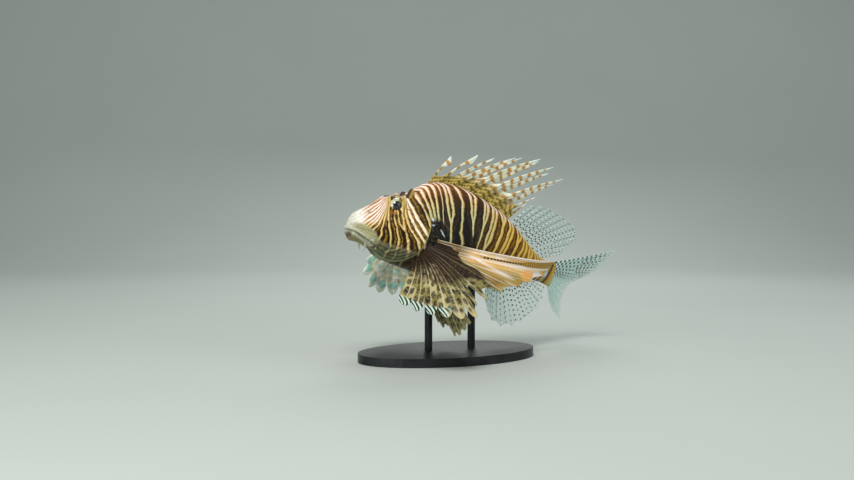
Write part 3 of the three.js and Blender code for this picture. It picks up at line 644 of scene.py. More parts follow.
def skin_fields(points):
    """The fields that the skin's material reads: stripes, thin lines, and colours by place on the fish."""
    x, y, z = points.T
    phase, at = stripes(points)
    waist = body_waist(x)
    up = np.clip((z - waist) / np.maximum(body_top(x) - waist, 1), 0, 1)
    down = np.clip((waist - z) / np.maximum(waist - body_bottom(x), 1), 0, 1)
    back = smooth(0.72, 0.97, up) * smooth(42, 62, x)
    rear = smooth(118, 165, at)
    head = smooth(70, 58, at)
    inside = inside_cover(x, z)
    cover = smooth(-0.4, 0.4, inside)
    over, along = mouth_place(x, z)
    fore = smooth(25, 21.5, at) * smooth(5, 11, z) * smooth(7, 11, x + 0.3 * z)
    half_width = 1.22 * line_half_width(at) * (1 + 0.5 * back * (1 - 0.6 * rear))
    half_width = half_width * (1 + 0.12 * wobble(points, 5, 14))
    width = np.clip(half_width * line_density(points, phase, at), 0.055, 0.36)
    width = width * (1 - smooth(13, 8, z) * smooth(4, 2.5, np.abs(at - ENDING_LINE_AT)))
    width = width * (1 - 0.55 * smooth(2.4, 1.2, np.abs(at - FAINT_LINE_AT)))

    # A stripe's colours: the pale line, its rim, the dark bar between two lines and the bar's core
    high = smooth(0.45, 0.85, up)
    cheek = smooth(45, 53, at) * head
    front = smooth(140, 60, at)
    lower = smooth(0.45, 1, down) * (1 - head)
    shoulder, spine, far_rear = high * front, back * front, smooth(160, 215, at)
    line = paint(
        "cdca98", (high, "e0cf9c"), (rear, "e6c568"), (back, "faeae4"), (head, "dcc684"), (cheek, "f0ead8"),
        (fore, "f6e8e4"), (smooth(0.2, 0.9, down) * (1 - head), "bdb288"))
    rim = paint(
        "93751f", (high, "bd8a42"), (rear, "cf9424"), (back, "dc9c54"), (head, "a9741a"), (cheek, "bd8422"),
        (fore, "cf9a5c"), (lower, "8a7648"))
    bar = paint(
        "15100d", (shoulder, "5c3417"), (smooth(118, 150, at), "442b09"), (far_rear, "775214"),
        (spine, "a2692e"), (head, "20140a"), (fore, "b5834a"), (lower, "3c3222"))
    core = paint(
        "3a2c1c", (shoulder, "2a160b"), (smooth(115, 150, at), "8f6614"), (far_rear, "ac801f"),
        (spine, "5a3618"), (head, "94701e"), (fore, "94602e"), (lower, "5c4e34"))

    # Where no stripes show
    snout = smooth(12, 6, x - 0.15 * z) * smooth(-2, 1.5, over)
    maxilla = smooth(-0.6, 0.6, maxilla_edge(x, z)) * (over > 0)
    plate = np.maximum(maxilla, ellipse(x, z, (11, 0), (10.5, 5), -25))
    jaw = smooth(1, -1, over) * smooth(26, 20, x)
    lip = bell(np.abs(over) - 1.6, 1.4) * smooth(MOUTH_LENGTH + 2, MOUTH_LENGTH - 2, along)
    throat = smooth(0.35, 0.8, down) * smooth(22, 30, x) * cover
    under = smooth(-7, -12, z + 0.12 * (x - 40)) * cover * smooth(20, 27, x)
    low_head = np.maximum(under, throat)
    edges = 1.6 * wobble(points, 9, 11)
    patch = smooth(1.15, 0.85, np.hypot((x - 77 + 0.1 * z) / 11.5, (z - 5 + edges) / 16)) * (1 - cover)
    # The belly and the skin round the pectoral's root are painted dark brown with their stripes faded:
    # painted shade under the body and under the fin.
    painted_belly_shade = smooth(-12, -17, z) * smooth(100, 75, x) * (1 - cover)
    painted_fin_seat_shade = ellipse(x, z, (71.5, -8), (6, 14)) * (1 - cover)
    chin_tip = 0.8 * ellipse(x, z + 0.5 * edges, (0.2, -5.4), (1.9, 3.0)) * smooth(0.5, -0.5, over)
    tail_end = x - 0.38 * z
    stalk = smooth(214, 219, tail_end)
    plain = paint(
        "c9b79a", (snout, "eceee6"), (plate, "a5a47a"), (jaw, "8c875c"), (lip * 0.8, "cfd2bc"),
        (chin_tip, "4a2c1c"), (low_head, "5a644a"),
        (np.minimum(2.5 * np.maximum(painted_belly_shade, painted_fin_seat_shade), 1), "352c20"), (np.minimum(3 * patch, 1), "030608"),
        (stalk, "8d8c58"), (ellipse(x, z, (216, -2), (3, 4)), "b9cbd6"),
        (smooth(220.5, 221.5, tail_end), "5a3020"), (smooth(223.6, 224.4, tail_end), "c0922c"),
        (smooth(227, 229, tail_end), "b9b37c"))
    strength = np.ones(len(x))
    for share, left in ((snout, 0.22), (plate, 0.05), (jaw, 0.1), (lip, 0.1), (low_head, 0.22), (patch, 0.0),
                        (painted_belly_shade, 0.25), (painted_fin_seat_shade, 0.05), (stalk, 0.0)):
        strength = strength * mix(1, left, share)

    # Thin lines of their own: along the jaw plates, and in arcs round the gill cover's lower edge
    jaw_phase = over / JAW_LINE_GAP + 0.25 * wobble(points, 8, 12)
    thin_phase = np.where(low_head > 0.3, inside / ARC_GAP, jaw_phase)
    thin = np.maximum(np.maximum(plate, jaw) * 0.5, low_head * 0.75) * (1 - lip * 0.6) * (1 - chin_tip)

    # Single marks
    edge = np.exp(-(((inside - 0.9) / 1.05) ** 4)) * smooth(26, 20, z)
    streaks = np.maximum.reduce([
        ellipse(x, z, (81, 8), (4.2, 0.6), -50), ellipse(x, z, (70.5, 19), (1.0, 1.8), 20),
        0.8 * ellipse(x, z, (71, 14), (1.6, 0.9)),
    ]) * smooth(0, 3, np.abs(y))
    under_eye = ellipse(x, z, (36, 16.6), (1.8, 2.8), 15)
    eye_red = ellipse(x, z, (33.2, 18.8), (3.2, 1.3))
    lids = smooth(4, 7, np.abs(y))
    lid_front = ellipse(x, z, (29.6, 26), (1.5, 4.2), 10) * lids
    lid_rear = ellipse(x, z, (44, 28.5), (2.4, 4.4)) * lids
    speckles = wobble(points, 12, 3.4)
    corner = ellipse(x, z, (24, -7), (5.5, 7), 20) * (over < 0)
    spots = paint(
        "000000", (edge, "a8a048"), (edge * smooth(-3, -10, z), "7c8462"), (streaks, "d4e4e6"),
        (under_eye, "1c100c"), (eye_red, "9a501e"), (lid_front, "cfa75a"), (lid_rear, "b59c48"),
        (corner * smooth(0, 0.3, speckles), "4a3620"), (corner * smooth(-0.2, -0.5, speckles), "d3cda2"))
    spot_share = np.maximum.reduce([
        edge * (0.72 + 0.16 * edges / 1.6), streaks, under_eye * 0.8, eye_red * 0.75, lid_front * 0.6,
        lid_rear * 0.6, 0.75 * corner * smooth(0.1, 0.5, np.abs(speckles)),
    ]).clip(0, 1)

    turn = 2 * math.pi * phase
    return {
        "stripe": np.stack([np.cos(turn), np.sin(turn), width], 1),
        "thin": np.stack([thin_phase, thin, strength], 1),
        "straight": points / 100,
        "tint_line": line, "tint_rim": rim, "tint_bar": bar, "tint_core": core,
        "tint_plain": plain, "tint_spot": spots, "spot_share": spot_share,
    }


def skin_material():
    p = Paint("painted_skin")
    straight = p.field("straight")
    c, s, width = p.parts("stripe")
    turn = p.math("DIVIDE", p.math("ARCTAN2", s, c), 2 * math.pi)
    ragged = p.times(p.minus(p.noise(straight, 55, 3), 0.5), p.times(width, 1.1))
    signed = p.math("WRAP", p.plus(turn, ragged), 0.5, -0.5)
    away = p.size(signed)
    line_share = p.ramp(p.minus(away, width), 0.045, -0.02)
    rim_lower = p.times(p.ramp(p.math("DIVIDE", signed, width), 0.15, 0.6), 0.8)
    rim_both = p.times(p.ramp(p.math("DIVIDE", away, width), 0.5, 0.95), 0.85)
    patchy = p.noise(straight, 34, 4)
    core_share = p.times(p.ramp(away, 0.3, 0.47), p.ramp(patchy, 0.3, 0.62))
    dark = p.blend(core_share, p.tint("tint_bar"), p.tint("tint_core"))
    pale = p.blend(p.most(rim_lower, rim_both), p.tint("tint_line"), p.tint("tint_rim"))
    pattern = p.blend(line_share, dark, pale)
    thin_phase, thin_share, strength = p.parts("thin")
    thin_line = p.times(p.ramp(p.zigzag(thin_phase), 0.3, 0.42), thin_share)
    mottling = p.times(p.ramp(p.noise(straight, 60, 3), 0.48, 0.7), 0.35)
    mottled = p.blend(mottling, p.tint("tint_plain"), tone("6e5a3c"))
    colour = p.blend(strength, p.blend(thin_line, mottled, tone("3a3524")), pattern)
    colour = p.blend(p.value("spot_share"), colour, p.tint("tint_spot"))
    fine = p.noise(p.scaled(straight, (1, 1, 0.5)), 420, 2)
    colour = p.blend(0.22, colour, p.blend(fine, tone("2a1c12"), tone("ffffff")), "OVERLAY")
    scales = p.put("ShaderNodeTexVoronoi", {"Vector": p.scaled(straight, (0.75, 1, 1)), "Scale": 95.0})
    p.bump(p.plus(p.times(scales.outputs["Distance"], -1.0), p.times(fine, 0.5)), 0.28, 0.0005)
    return p.finish(colour, p.ramp(patchy, 0.3, 0.7, 0.4, 0.55), Specular_IOR_Level=0.16, Coat_Weight=0.03,
                    Coat_Roughness=0.22)


SKIN_SIDES = 384
SNOUT_RINGS, HEAD_RINGS, TRUNK_RINGS = 15, 190, 270
HEAD_END = 72


def skin_stations():
    """The distances from the snout of the skin's rings, which are closest on the head."""
    start = SNOUT_ROUND * (1 - np.cos(np.linspace(0, math.pi / 2, SNOUT_RINGS)[1:]))
    head = np.linspace(SNOUT_ROUND, HEAD_END, HEAD_RINGS)[1:]
    trunk = np.linspace(HEAD_END, STANDARD_LENGTH, TRUNK_RINGS)[1:]
    return np.concatenate([start, head, trunk])


# The lids, by distance from the eye's axis: the opening, the raised rim and the end of their shape
LID_OPENING, LID_RIM, LID_END = 5.6, 7.4, 12
LID_RIM_HEIGHT = 0.9


def shaped_for_eye(points, centre, out):
    """Opens the skin over an eyeball, with a lid that hugs it."""
    from_centre = points - centre
    reach = np.linalg.norm(from_centre, axis=1)
    along = from_centre @ out
    off = from_centre - along[:, None] * out
    across = np.hypot(off[:, 0] / 0.99, off[:, 2] / 1.03)
    near = (along > 0) & (across < LID_END) & (reach < 15)
    lid = EYE_RADIUS + mix(0.45, 1.0, smooth(LID_OPENING, 6.8, across))
    target = np.where(reach < lid, lid, reach) + LID_RIM_HEIGHT * bell(across - LID_RIM, 1.0)
    target = mix(target, EYE_RADIUS - 1.6, smooth(5.75, 5.35, across))
    share = smooth(11, 8, across)
    radius = mix(reach, target, share)
    moved = centre + from_centre / np.maximum(reach, 1e-6)[:, None] * radius[:, None]
    return np.where(near[:, None], moved, points)


# Small forms of the left side of the head: root (x, z), tip (x, z), lift of the tip, radius and colour.
SMALL_FORMS = [
    ((56, 38.5), (62, 44.5), 0.8, 1.4, None), ((41, 36), (43.5, 38), 1.0, 1.1, None),
    ((46, 24), (49.5, 25.6), 1.6, 1.1, None), ((27, 12), (29.5, 10.8), 1.4, 1.0, None),
    ((35, 8), (37.4, 7), 1.2, 1.1, None), ((43, 5), (45.6, 4), 1.3, 1.1, None),
    ((32, 33), (32, 34.4), -3.8, 1.0, "4a3a28"),
    ((5, 5), (2, 7.4), 2.2, 1.0, "c9c4a8"), ((16, -3), (17, -8), 2.4, 1.2, "9c8f64"),
    ((15.5, -9.5), (16, -17), 5.0, 1.2, "c4c8a6"), ((22, -11), (24, -15), 2.5, 1.0, "6f6544"),
]


def form_fields(points, code):
    """The skin's fields for a small form, which may have one colour of its own."""
    fields = skin_fields(points)
    if code is None:
        return fields
    fields["thin"][:, 1:] = 0
    fields["tint_plain"][:] = tone(code)
    fields["spot_share"][:] = 0
    return fields


def small_forms():
    """The points, faces and colour of each small form: spines, cirri and the nostrils' tubes."""
    s = np.linspace(0, 1, 10)[:, None]
    for (x0, z0), (x1, z1), lift, radius, code in SMALL_FORMS:
        root, tip = side_point(x0, z0, -1.2), side_point(x1, z1, lift)
        line = mix(root, tip, s) - np.array([0, 0.5, 0]) * np.sin(math.pi * s)
        yield *tube(line, radius * (1 - 0.88 * s[:, 0] ** 1.3), 10)[:2], code
    place = side_point(*NOSTRIL, 0)
    axis = unit(np.array([-0.35, -0.8, 0.45]))
    heights, radii = np.array([(-1, 1.5), (0.6, 1.3), (1.7, 1.15), (2.0, 0.95), (1.7, 0.7), (0.4, 0.6)]).T
    yield *tube(place + heights[:, None] * axis, radii, 14, axis)[:2], "cdc6ae"


def make_skin():
    """One closed skin over the flesh of both sides, with the head's small forms."""
    stations = skin_stations()
    angles = np.arange(SKIN_SIDES) * 2 * math.pi / SKIN_SIDES
    x, angle = np.meshgrid(stations, angles, indexing="ij")
    grid = body_point(x, angle)
    along = np.gradient(grid, axis=0)
    around = np.roll(grid, -1, 1) - np.roll(grid, 1, 1)
    normals = unit(np.cross(around, along)).reshape(-1, 3)
    flat = grid.reshape(-1, 3)
    fields = skin_fields(flat)
    shaped = flat + normals * skin_lift(flat)[:, None]
    shaped = shaped_for_eye(shaped, EYE_CENTRE, EYE_OUT)
    shaped = shaped_for_eye(shaped, mirror(EYE_CENTRE), mirror(EYE_OUT))
    tip = shaped[:SKIN_SIDES].mean(0) - np.array([0.12, 0, 0])
    end = shaped[-SKIN_SIDES:].mean(0) + np.array([0.3, 0, 0])
    count = len(shaped)
    points = np.concatenate([shaped, [tip, end]])
    fields = {name: np.concatenate([values, values[:1], values[-1:]]) for name, values in fields.items()}
    faces = [
        grid_faces(len(stations), SKIN_SIDES, wrap=True)[:, ::-1],
        cap_faces(count, 0, SKIN_SIDES),
        cap_faces(count + 1, count - SKIN_SIDES, SKIN_SIDES, turned=True),
    ]
    gather = Gather()
    gather.add(points, faces, **fields)
    for points, faces, code in small_forms():
        fields = form_fields(points, code)
        for side in SIDES:
            gather.add(*for_side(side, points, faces), **fields)
    dress(gather.build("lionfish_skin"), skin_material(), "skin", "head", "upper_jaw", "lower_jaw", "torso",
          "tail_stalk", "gill_cover_left", "gill_cover_right")


make_skin()


# Eyes
EYE_RINGS = 48
EYE_SPOKES = 64
PUPIL_BEHIND = 1.0
PUPIL_BELOW = 0.7


def eye_material():
    p = Paint("glass_eye")
    across, turn, pupil = p.parts("eye")
    spokes = p.noise(p.vector(p.times(turn, 9.0), across, 0.0), 1.6, 3)
    iris = p.blend(p.ramp(p.math("COSINE", turn), 0.1, -0.6), tone("d5deba"), tone("c2ac48"))
    iris = p.blend(p.times(p.ramp(spokes, 0.6, 0.42), 0.5), iris, tone("5a4a24"))
    colour = p.blend(p.ramp(pupil, 4.5, 4.3), iris, tone("020304"))
    colour = p.blend(p.ramp(across, 5.5, 6.2), colour, tone("1e1410"))
    return p.finish(colour, 0.06, Coat_Weight=1.0, Coat_Roughness=0.02)


def make_eyes():
    """Glass eyeballs, each bulging a little over its pupil, with places on the iris as a field."""
    ahead = unit(np.array([-1, 0, 0]) - EYE_OUT * (np.array([-1, 0, 0]) @ EYE_OUT))
    up = np.cross(ahead, EYE_OUT)
    polar = np.linspace(0, math.pi, EYE_RINGS)
    spin = np.arange(EYE_SPOKES) * 2 * math.pi / EYE_SPOKES
    a, b = np.meshgrid(polar, spin, indexing="ij")
    radius = EYE_RADIUS * 0.985 * (1 + 0.045 * bell(a, 0.5))
    forward, sideways = radius * np.cos(a), radius * np.sin(a)
    points = EYE_CENTRE + forward[..., None] * EYE_OUT + (sideways * np.cos(b))[..., None] * ahead
    points = (points + (sideways * np.sin(b))[..., None] * up).reshape(-1, 3)
    across = EYE_RADIUS * np.sin(a) + np.where(a > math.pi / 2, 5.0, 0.0)
    from_pupil = np.hypot(across * np.cos(b) + PUPIL_BEHIND, across * np.sin(b) + PUPIL_BELOW)
    fields = {"eye": np.stack([across, b, from_pupil], -1).reshape(-1, 3)}
    eye_paint = eye_material()
    for side in SIDES:
        ball, faces = for_side(side, points, grid_faces(EYE_RINGS, EYE_SPOKES, wrap=True))
        dress(build_mesh("eye_glass_" + side, placed(ball), faces, fields), eye_paint, "eye", "eye_" + side)


make_eyes()


# Fins
def heading(rise, outward):
    """The direction that rises above level and turns outwards from the fish by these angles."""
    across = math.cos(outward)
    return np.array([across * math.cos(rise), -math.sin(outward), across * math.sin(rise)])


class Ray:
    """A fin ray that leaves its root one way and bends to another."""

    def __init__(self, root, rise, outward, length, curl=(0.0, 0.0)):
        rise, outward = math.radians(rise), math.radians(outward)
        self.root = np.array(root, float)
        self.leaving = heading(rise + curl[0], outward + curl[1])
        self.arriving = heading(rise - curl[0], outward - curl[1])
        self.length = float(length)

    def at(self, s):
        s = np.asarray(s, float)[..., None]
        return self.root + self.length * (self.leaving * (s - s * s / 2) + self.arriving * s * s / 2)


def fin_sheet(rays, rows, columns, reach, notch, thickness, lift=None):
    """The sheet of a fin: each ray's strip, joined to its neighbours up to the notch.

    reach(k, s, q) is half the free width of ray k's strip, in front where q < 0. notch(k) is the share of
    the ray up to which the web behind it goes. thickness(k, s, off) is half the sheet's thickness at a
    distance off from the ray.
    """
    s = np.asarray(rows, float)
    lines = np.array([ray.at(s) for ray in rays])
    count = len(rays)
    middle, half, facing, fields = [], [], [], []
    shares = np.linspace(-1, 1, columns)
    for k in range(count):
        before = lines[k - 1] if k > 0 else 2 * lines[0] - lines[1]
        after = lines[k + 1] if k < count - 1 else 2 * lines[-1] - lines[-2]
        along = unit(np.gradient(lines[k], axis=0))
        normal = unit(np.cross(along, after - before))
        for q in shares:
            gap = (after if q > 0 else before) - lines[k]
            width = np.linalg.norm(gap, axis=1)
            edge = (q > 0 and k == count - 1) or (q < 0 and k == 0)
            free = smooth(notch(k) - 0.02, notch(k) + 0.06, s)
            wide = reach(k, s, q)
            held = wide if edge else width * 0.47
            side = mix(held, wide, free) * abs(q)
            place = lines[k] + unit(gap) * side[:, None]
            if lift is not None:
                place = place + normal * lift(k, s, q, free)[:, None]
            middle.append(place)
            half.append(thickness(k, s, side))
            facing.append(normal)
            ones = np.ones(len(s))
            fields.append(np.stack([side * np.sign(q), s * rays[k].length, k * ones, q * ones], 1))
    middle, half, facing, fields = (np.array(part) for part in (middle, half, facing, fields))
    total = count * columns
    cells = np.ones((total - 1, len(s) - 1), bool)
    for k in range(count - 1):
        cells[(k + 1) * columns - 1] = s[:-1] < notch(k)
    return closed_sheet(middle, half, facing, fields, cells)


def closed_sheet(middle, half, facing, fields, cells):
    """A closed thin solid over the present cells of a grid of points."""
    wide, tall = middle.shape[:2]
    upper = (middle + facing * half[..., None]).reshape(-1, 3)
    lower = (middle - facing * half[..., None]).reshape(-1, 3)
    c, r = np.nonzero(cells)
    a = c * tall + r
    b = (c + 1) * tall + r
    d = b + 1
    e = a + 1
    other = wide * tall
    quads = [np.stack([a, b, d, e], 1), np.stack([a, e, d, b], 1) + other]
    padded = np.zeros((wide + 1, tall + 1), bool)
    padded[1:wide, 1:tall] = cells
    for (dc, dr), (p, q) in (((0, -1), (a, b)), ((1, 0), (b, d)), ((0, 1), (d, e)), ((-1, 0), (e, a))):
        open_side = ~padded[c + 1 + dc, r + 1 + dr]
        p, q = p[open_side], q[open_side]
        quads.append(np.stack([q, p, p + other, q + other], 1))
    points = np.concatenate([upper, lower])
    return points, np.concatenate(quads), np.concatenate([fields.reshape(-1, fields.shape[-1])] * 2)


def compact(points, faces, fields):
    """Leaves out the points that no face uses."""
    used, faces = np.unique(faces, return_inverse=True)
    return points[used], faces.reshape(-1, 4), {name: values[used] for name, values in fields.items()}


def ridge(radius, membrane, spread):
    """Half thickness: a round ray over a thin membrane."""
    def thickness(k, s, off):
        size = radius * mix(1, 0.3, s**0.8)
        return membrane + np.maximum(size - membrane, 0) * bell(off, spread * size)
    return thickness


def add_fin(name, node, material, *sheets):
    gather = Gather()
    for points, faces, fields in sheets:
        points, faces, fields = compact(points, faces, fields)
        gather.add(points, faces, **fields)
    dress(gather.build(name), material, "fin", node)


def glassy_material(name, ray_code, web_code, alpha, dots, radii=(0.9, 0.65)):
    """A clear fin: pale branching rays, a faint web between them and staggered rows of small dark dots."""
    p = Paint(name)
    off, along, k = p.parts("fin")
    share, seat, between = p.parts("glass")
    turns = p.math("FRACT", p.times(k, 0.5))
    shift = p.times(p.most(turns, p.times(between, 0.75)), DOT_GAP)
    step = p.minus(p.math("WRAP", p.plus(along, shift), DOT_GAP, 0.0), DOT_GAP / 2)
    reach = p.math("SQRT", p.plus(p.times(step, step), p.times(seat, seat)))
    size = p.ramp(share, 0.1, 0.95, *radii)
    dot_share = p.times(p.ramp(p.minus(reach, size), 0.12, -0.12), dots(p, share, k))
    fork = p.size(p.minus(p.size(off), p.ramp(share, 0.35, 0.9, 0.0, 0.95)))
    on_ray = p.ramp(fork, 0.5, 0.25)
    solid = p.times(on_ray, p.ramp(share, 0.6, 1.0, 0.9, 0.55))
    colour = p.blend(on_ray, tone(web_code), tone(ray_code))
    colour = p.blend(dot_share, colour, tone("14110d"))
    return p.finish(colour, 0.3, Alpha=p.most(solid, dot_share, alpha(p, share, k)))


def banded_material():
    """Dorsal spines: soft orange-tan blotches on cream, with dark checks towards the roots."""
    p = Paint("banded_spines")
    off, along, k = p.parts("fin")
    shifted = p.plus(along, p.times(p.math("FRACT", p.times(k, 0.618)), 5.0))
    where = p.vector(p.times(off, 0.2), p.times(along, 0.12), k)
    rough = p.times(p.minus(p.noise(where, 1.5, 3), 0.5), 4.0)
    band = p.zigzag(p.math("DIVIDE", p.plus(shifted, rough), 9.3))
    tips = p.ramp(p.value("tip"), 0.86, 0.95)
    cream = p.blend(p.noise(where, 4.0, 2), tone("dcdcbc"), tone("eef2e6"))
    blotch = p.times(p.ramp(band, 0.3, 0.08), p.minus(1.0, tips))
    colour = p.blend(p.times(blotch, 0.9), cream, tone("c48c34"))
    fleck = p.noise(where, 6.0, 2)
    colour = p.blend(p.times(blotch, p.ramp(fleck, 0.4, 0.7), 0.8), colour, tone("94611e"))
    colour = p.blend(tips, colour, tone("dff0ea"))
    checks = p.ramp(p.plus(p.zigzag(p.math("DIVIDE", shifted, 5.5)), fleck), 0.7, 0.9)
    olive = p.blend(checks, tone("b5a052"), tone("6a5426"))
    colour = p.blend(p.ramp(along, 27.0, 15.0), colour, olive)
    return p.finish(colour, 0.42, Specular_IOR_Level=0.15)


# How finely the fins' sheets are drawn: rows along the rays, and points across each ray's strip
FIN_ROWS, FIN_COLUMNS = 60, 13
PECTORAL_ROWS, PECTORAL_COLUMNS = 110, 17


def rows_to(count, power=1.0):
    """The shares of a ray at which a sheet's rows lie."""
    return np.linspace(0, 1, count + 1) ** power


def whole_web(k):
    """The web of a fin without free vanes goes nearly to the tips of its rays."""
    return 0.95


def fan(count, root, rise, length, outward=lambda k: 0, curl=lambda k: (0.0, 0.0)):
    """The rays of a fin: the root by the share of the way across the fin, the rest by the ray's number."""
    return [Ray(root(k / (count - 1)), rise(k), outward(k), length(k), curl(k)) for k in range(count)]


ROOT_DEPTH = 4.0


def back_root(x):
    return x, 0, body_top(x) - ROOT_DEPTH


def belly_root(x):
    return x, 0, body_bottom(x) + ROOT_DEPTH


DORSAL_SPINES = 13
SPINE_ROWS, SPINE_SIDES = 46, 10
WEB_SHARE = 0.42
CLOSE_SPINES_FROM = 11
dorsal_lengths = through([(0, 39), (2, 62), (5, 84), (8, 86), (10, 80), (11, 42), (12, 31)])
dorsal_rises = through([(0, 56), (1, 44), (2, 36), (6, 36), (10, 35), (12, 46)])
dorsal_rays = fan(
    DORSAL_SPINES, lambda t: back_root(mix(69, 153, t)), dorsal_rises, dorsal_lengths,
    lambda k: 4 if k % 2 else -4, lambda k: (0.1, 0))
FLAP_POINTS = 6
LEAVES = 2


def spine_flap(k, ray, line, s):
    """The flap of skin up the back of spine k, which ends in a leaf on the first two."""
    along = unit(np.gradient(line, axis=0))
    behind = unit(np.cross(np.cross(along, [1.0, 0, 0]), along))
    wide = dorsal_lengths(k) / 24 * (1.1 if 1 < k < 8 else 0.8)
    flap = wide * (0.35 + 0.65 * np.sin(math.pi * np.minimum(s + 0.05, 1)) ** 0.7) * mix(1.15, 0.75, s)
    flap = flap * (1 + 0.12 * np.sin(s * 34 + k)) * smooth(1.0, 0.93, s)
    if k < LEAVES:
        flap = np.maximum(flap, 4.6 * bell((s - 0.84) * ray.length, 6.0)) * smooth(1.0, 0.97, s)
    wave = 0.35 * np.sin(s * 21 + k * 2)
    normal = np.cross(along, behind)
    depth = np.linspace(0, 1, FLAP_POINTS)
    middle = np.array([line + behind * (flap * d)[:, None] + normal * (wave * d)[:, None] for d in depth])
    half = np.array([0.14 + 0.25 * (1 - d) + 0 * s for d in depth])
    fields = np.array([np.stack([flap * d, s * ray.length, 0 * s + k], 1) for d in depth])
    return closed_sheet(middle, half, np.array([normal] * FLAP_POINTS), fields,
                        np.ones((FLAP_POINTS - 1, len(s) - 1), bool))


def make_dorsal_spines():
    """The spines with their flaps, and the low web between them up to a share of their length."""
    sheets = []
    s = rows_to(SPINE_ROWS)
    for k, ray in enumerate(dorsal_rays):
        line = ray.at(s)
        points, (round_side, *_), share = tube(line, mix(1.15, 0.28, s**0.8), SPINE_SIDES)
        fields = np.stack([0 * share, share * ray.length, 0 * share + k], 1)
        sheets.append((points, round_side, {"fin": fields, "tip": share}))
        points, faces, fields = spine_flap(k, ray, line, s)
        sheets.append((points, faces, {"fin": fields, "tip": fields[:, 1] / ray.length}))
    points, faces, values = fin_sheet(
        dorsal_rays, rows_to(30, 1.2) * WEB_SHARE, 9, lambda k, s, q: 1.2 + 0 * s,
        lambda k: 0.3 if k < CLOSE_SPINES_FROM else 0.36, lambda k, s, off: 0.16 + 0 * off)
    sheets.append((points, faces, {"fin": values[:, :3], "tip": 0 * values[:, 0]}))
    add_fin("dorsal_spines_fine", "dorsal_fin_spines", banded_material(), *sheets)


make_dorsal_spines()

soft_dorsal_rays = fan(
    11, lambda t: back_root(mix(159, 203, t)), lambda k: mix(50, 24, k / 10),
    through([(0, 34), (3, 54), (6, 70), (7, 71), (8, 65), (10, 36)]), curl=lambda k: (0.06, 0))
anal_rays = fan(
    10, lambda t: belly_root(mix(148, 192, t)), through([(0, -84), (2, -81), (4, -59), (7, -29), (9, -6)]),
    through([(0, 22), (3, 47), (7, 46), (9, 32)]), curl=lambda k: (-0.08, 0))
tail_rise_curls = through([(0, -6), (7, -2), (10, -7), (12, -18)])
tail_outward_curls = through([(0, -10), (4, 3.5), (7, 10.5), (10, 9), (12, 0)])
tail_rays = fan(
    13, lambda t: (STANDARD_LENGTH - 1, 0, mix(11.8, -11.6, t)),
    through([(0, 30), (2, 20), (4, 11), (7, 7), (9, 0), (10, -4.5), (12, -16)]),
    through([(0, 70), (9, 68), (12, 77)]),
    through([(0, 21), (2, 7), (4, -7), (7, -21), (10, -26), (12, -22)]),
    lambda k: (math.radians(tail_rise_curls(k)), math.radians(tail_outward_curls(k))))
DOT_GAP = 5.2
MIDDLE_DOTS_FROM = 2.6


def along_share(values, rays):
    """How far along its ray each point of a fin's sheet lies, from 0 to 1."""
    return values[:, 1] / np.array([ray.length for ray in rays])[values[:, 2].astype(int)]


def soft_fin(name, node, rays, material):
    """A clear fin, with dots on the rays and, where it is wide, on the lines halfway between them."""
    points, faces, values = fin_sheet(
        rays, rows_to(FIN_ROWS), FIN_COLUMNS, lambda k, s, q: 0.9 + 0 * s, whole_web, ridge(0.75, 0.13, 0.6))
    across = np.abs(values[:, 3])
    to_middle = np.abs(values[:, 0]) * (1 / np.maximum(across, 0.01) - 1)
    between = (across > 0.5) & (np.abs(values[:, 0]) + to_middle > MIDDLE_DOTS_FROM)
    to_dots = np.where(between, to_middle, np.abs(values[:, 0]))
    glass = np.stack([along_share(values, rays), to_dots, between], 1)
    add_fin(name, node, material, (points, faces, {"fin": values[:, :3], "glass": glass}))


soft_fin("soft_dorsal_fine", "dorsal_fin_soft", soft_dorsal_rays, glassy_material(
    "clear_dorsal", "eaf7f0", "b4d8cc", lambda p, share, k: 0.16, lambda p, share, k: 1.0))
soft_fin("anal_fine", "anal_fin", anal_rays, glassy_material(
    "clear_anal", "f2fbf7", "b9e0d8", lambda p, share, k: p.ramp(k, 1.0, 5.0, 0.42, 0.15),
    lambda p, share, k: 1.0))
soft_fin("tail_fine", "tail_fin", tail_rays, glassy_material(
    "clear_tail", "f4fcf8", "b4e2d9", lambda p, share, k: p.ramp(share, 0.2, 1.0, 0.55, 0.25),
    lambda p, share, k: p.times(p.ramp(k, 9.0, 5.0), p.ramp(share, 1.0, 0.8)), (1.2, 1.05)))

# Pectorals: the top rays run back along the flank and the lowest point down and forward.
PECTORAL_RAYS = 14
PECTORAL_TOP = (70, 2.5)
PECTORAL_FOOT = (61, -15)
PECTORAL_BOW = 0.34
pectoral_curls = through([(0, -13), (2, -12), (4, -7), (6, 0), (13, 0)])
# Each pectoral's rises, turns outwards and lengths by the number of the ray
PECTORAL_SPREAD = {
    "left": (
        [(0, 3.7), (2, -3), (4, -17), (5, -26), (6, -42), (8, -64.5), (10, -91), (12, -107), (13, -117.5)],
        [(0, -5), (2, -3), (4, 14), (6, 38), (8, 52), (10, 54), (13, 34)],
        [(0, 164), (1, 158), (2, 143), (3, 116), (5, 81), (7, 80), (8, 96), (10, 92), (11, 80), (13, 60.5)],
    ),
    "right": (
        [(0, 4), (3, -8), (5, -24), (7, -42), (9, -60), (10, -76), (11, -94), (13, -143)],
        [(0, -4), (3, 6), (5, 17), (7, 36), (9, 51), (11, 56), (13, 66)],
        [(0, 152), (3, 124), (5, 95), (7, 84), (9, 88), (10, 82), (11, 72), (13, 47)],
    ),
}

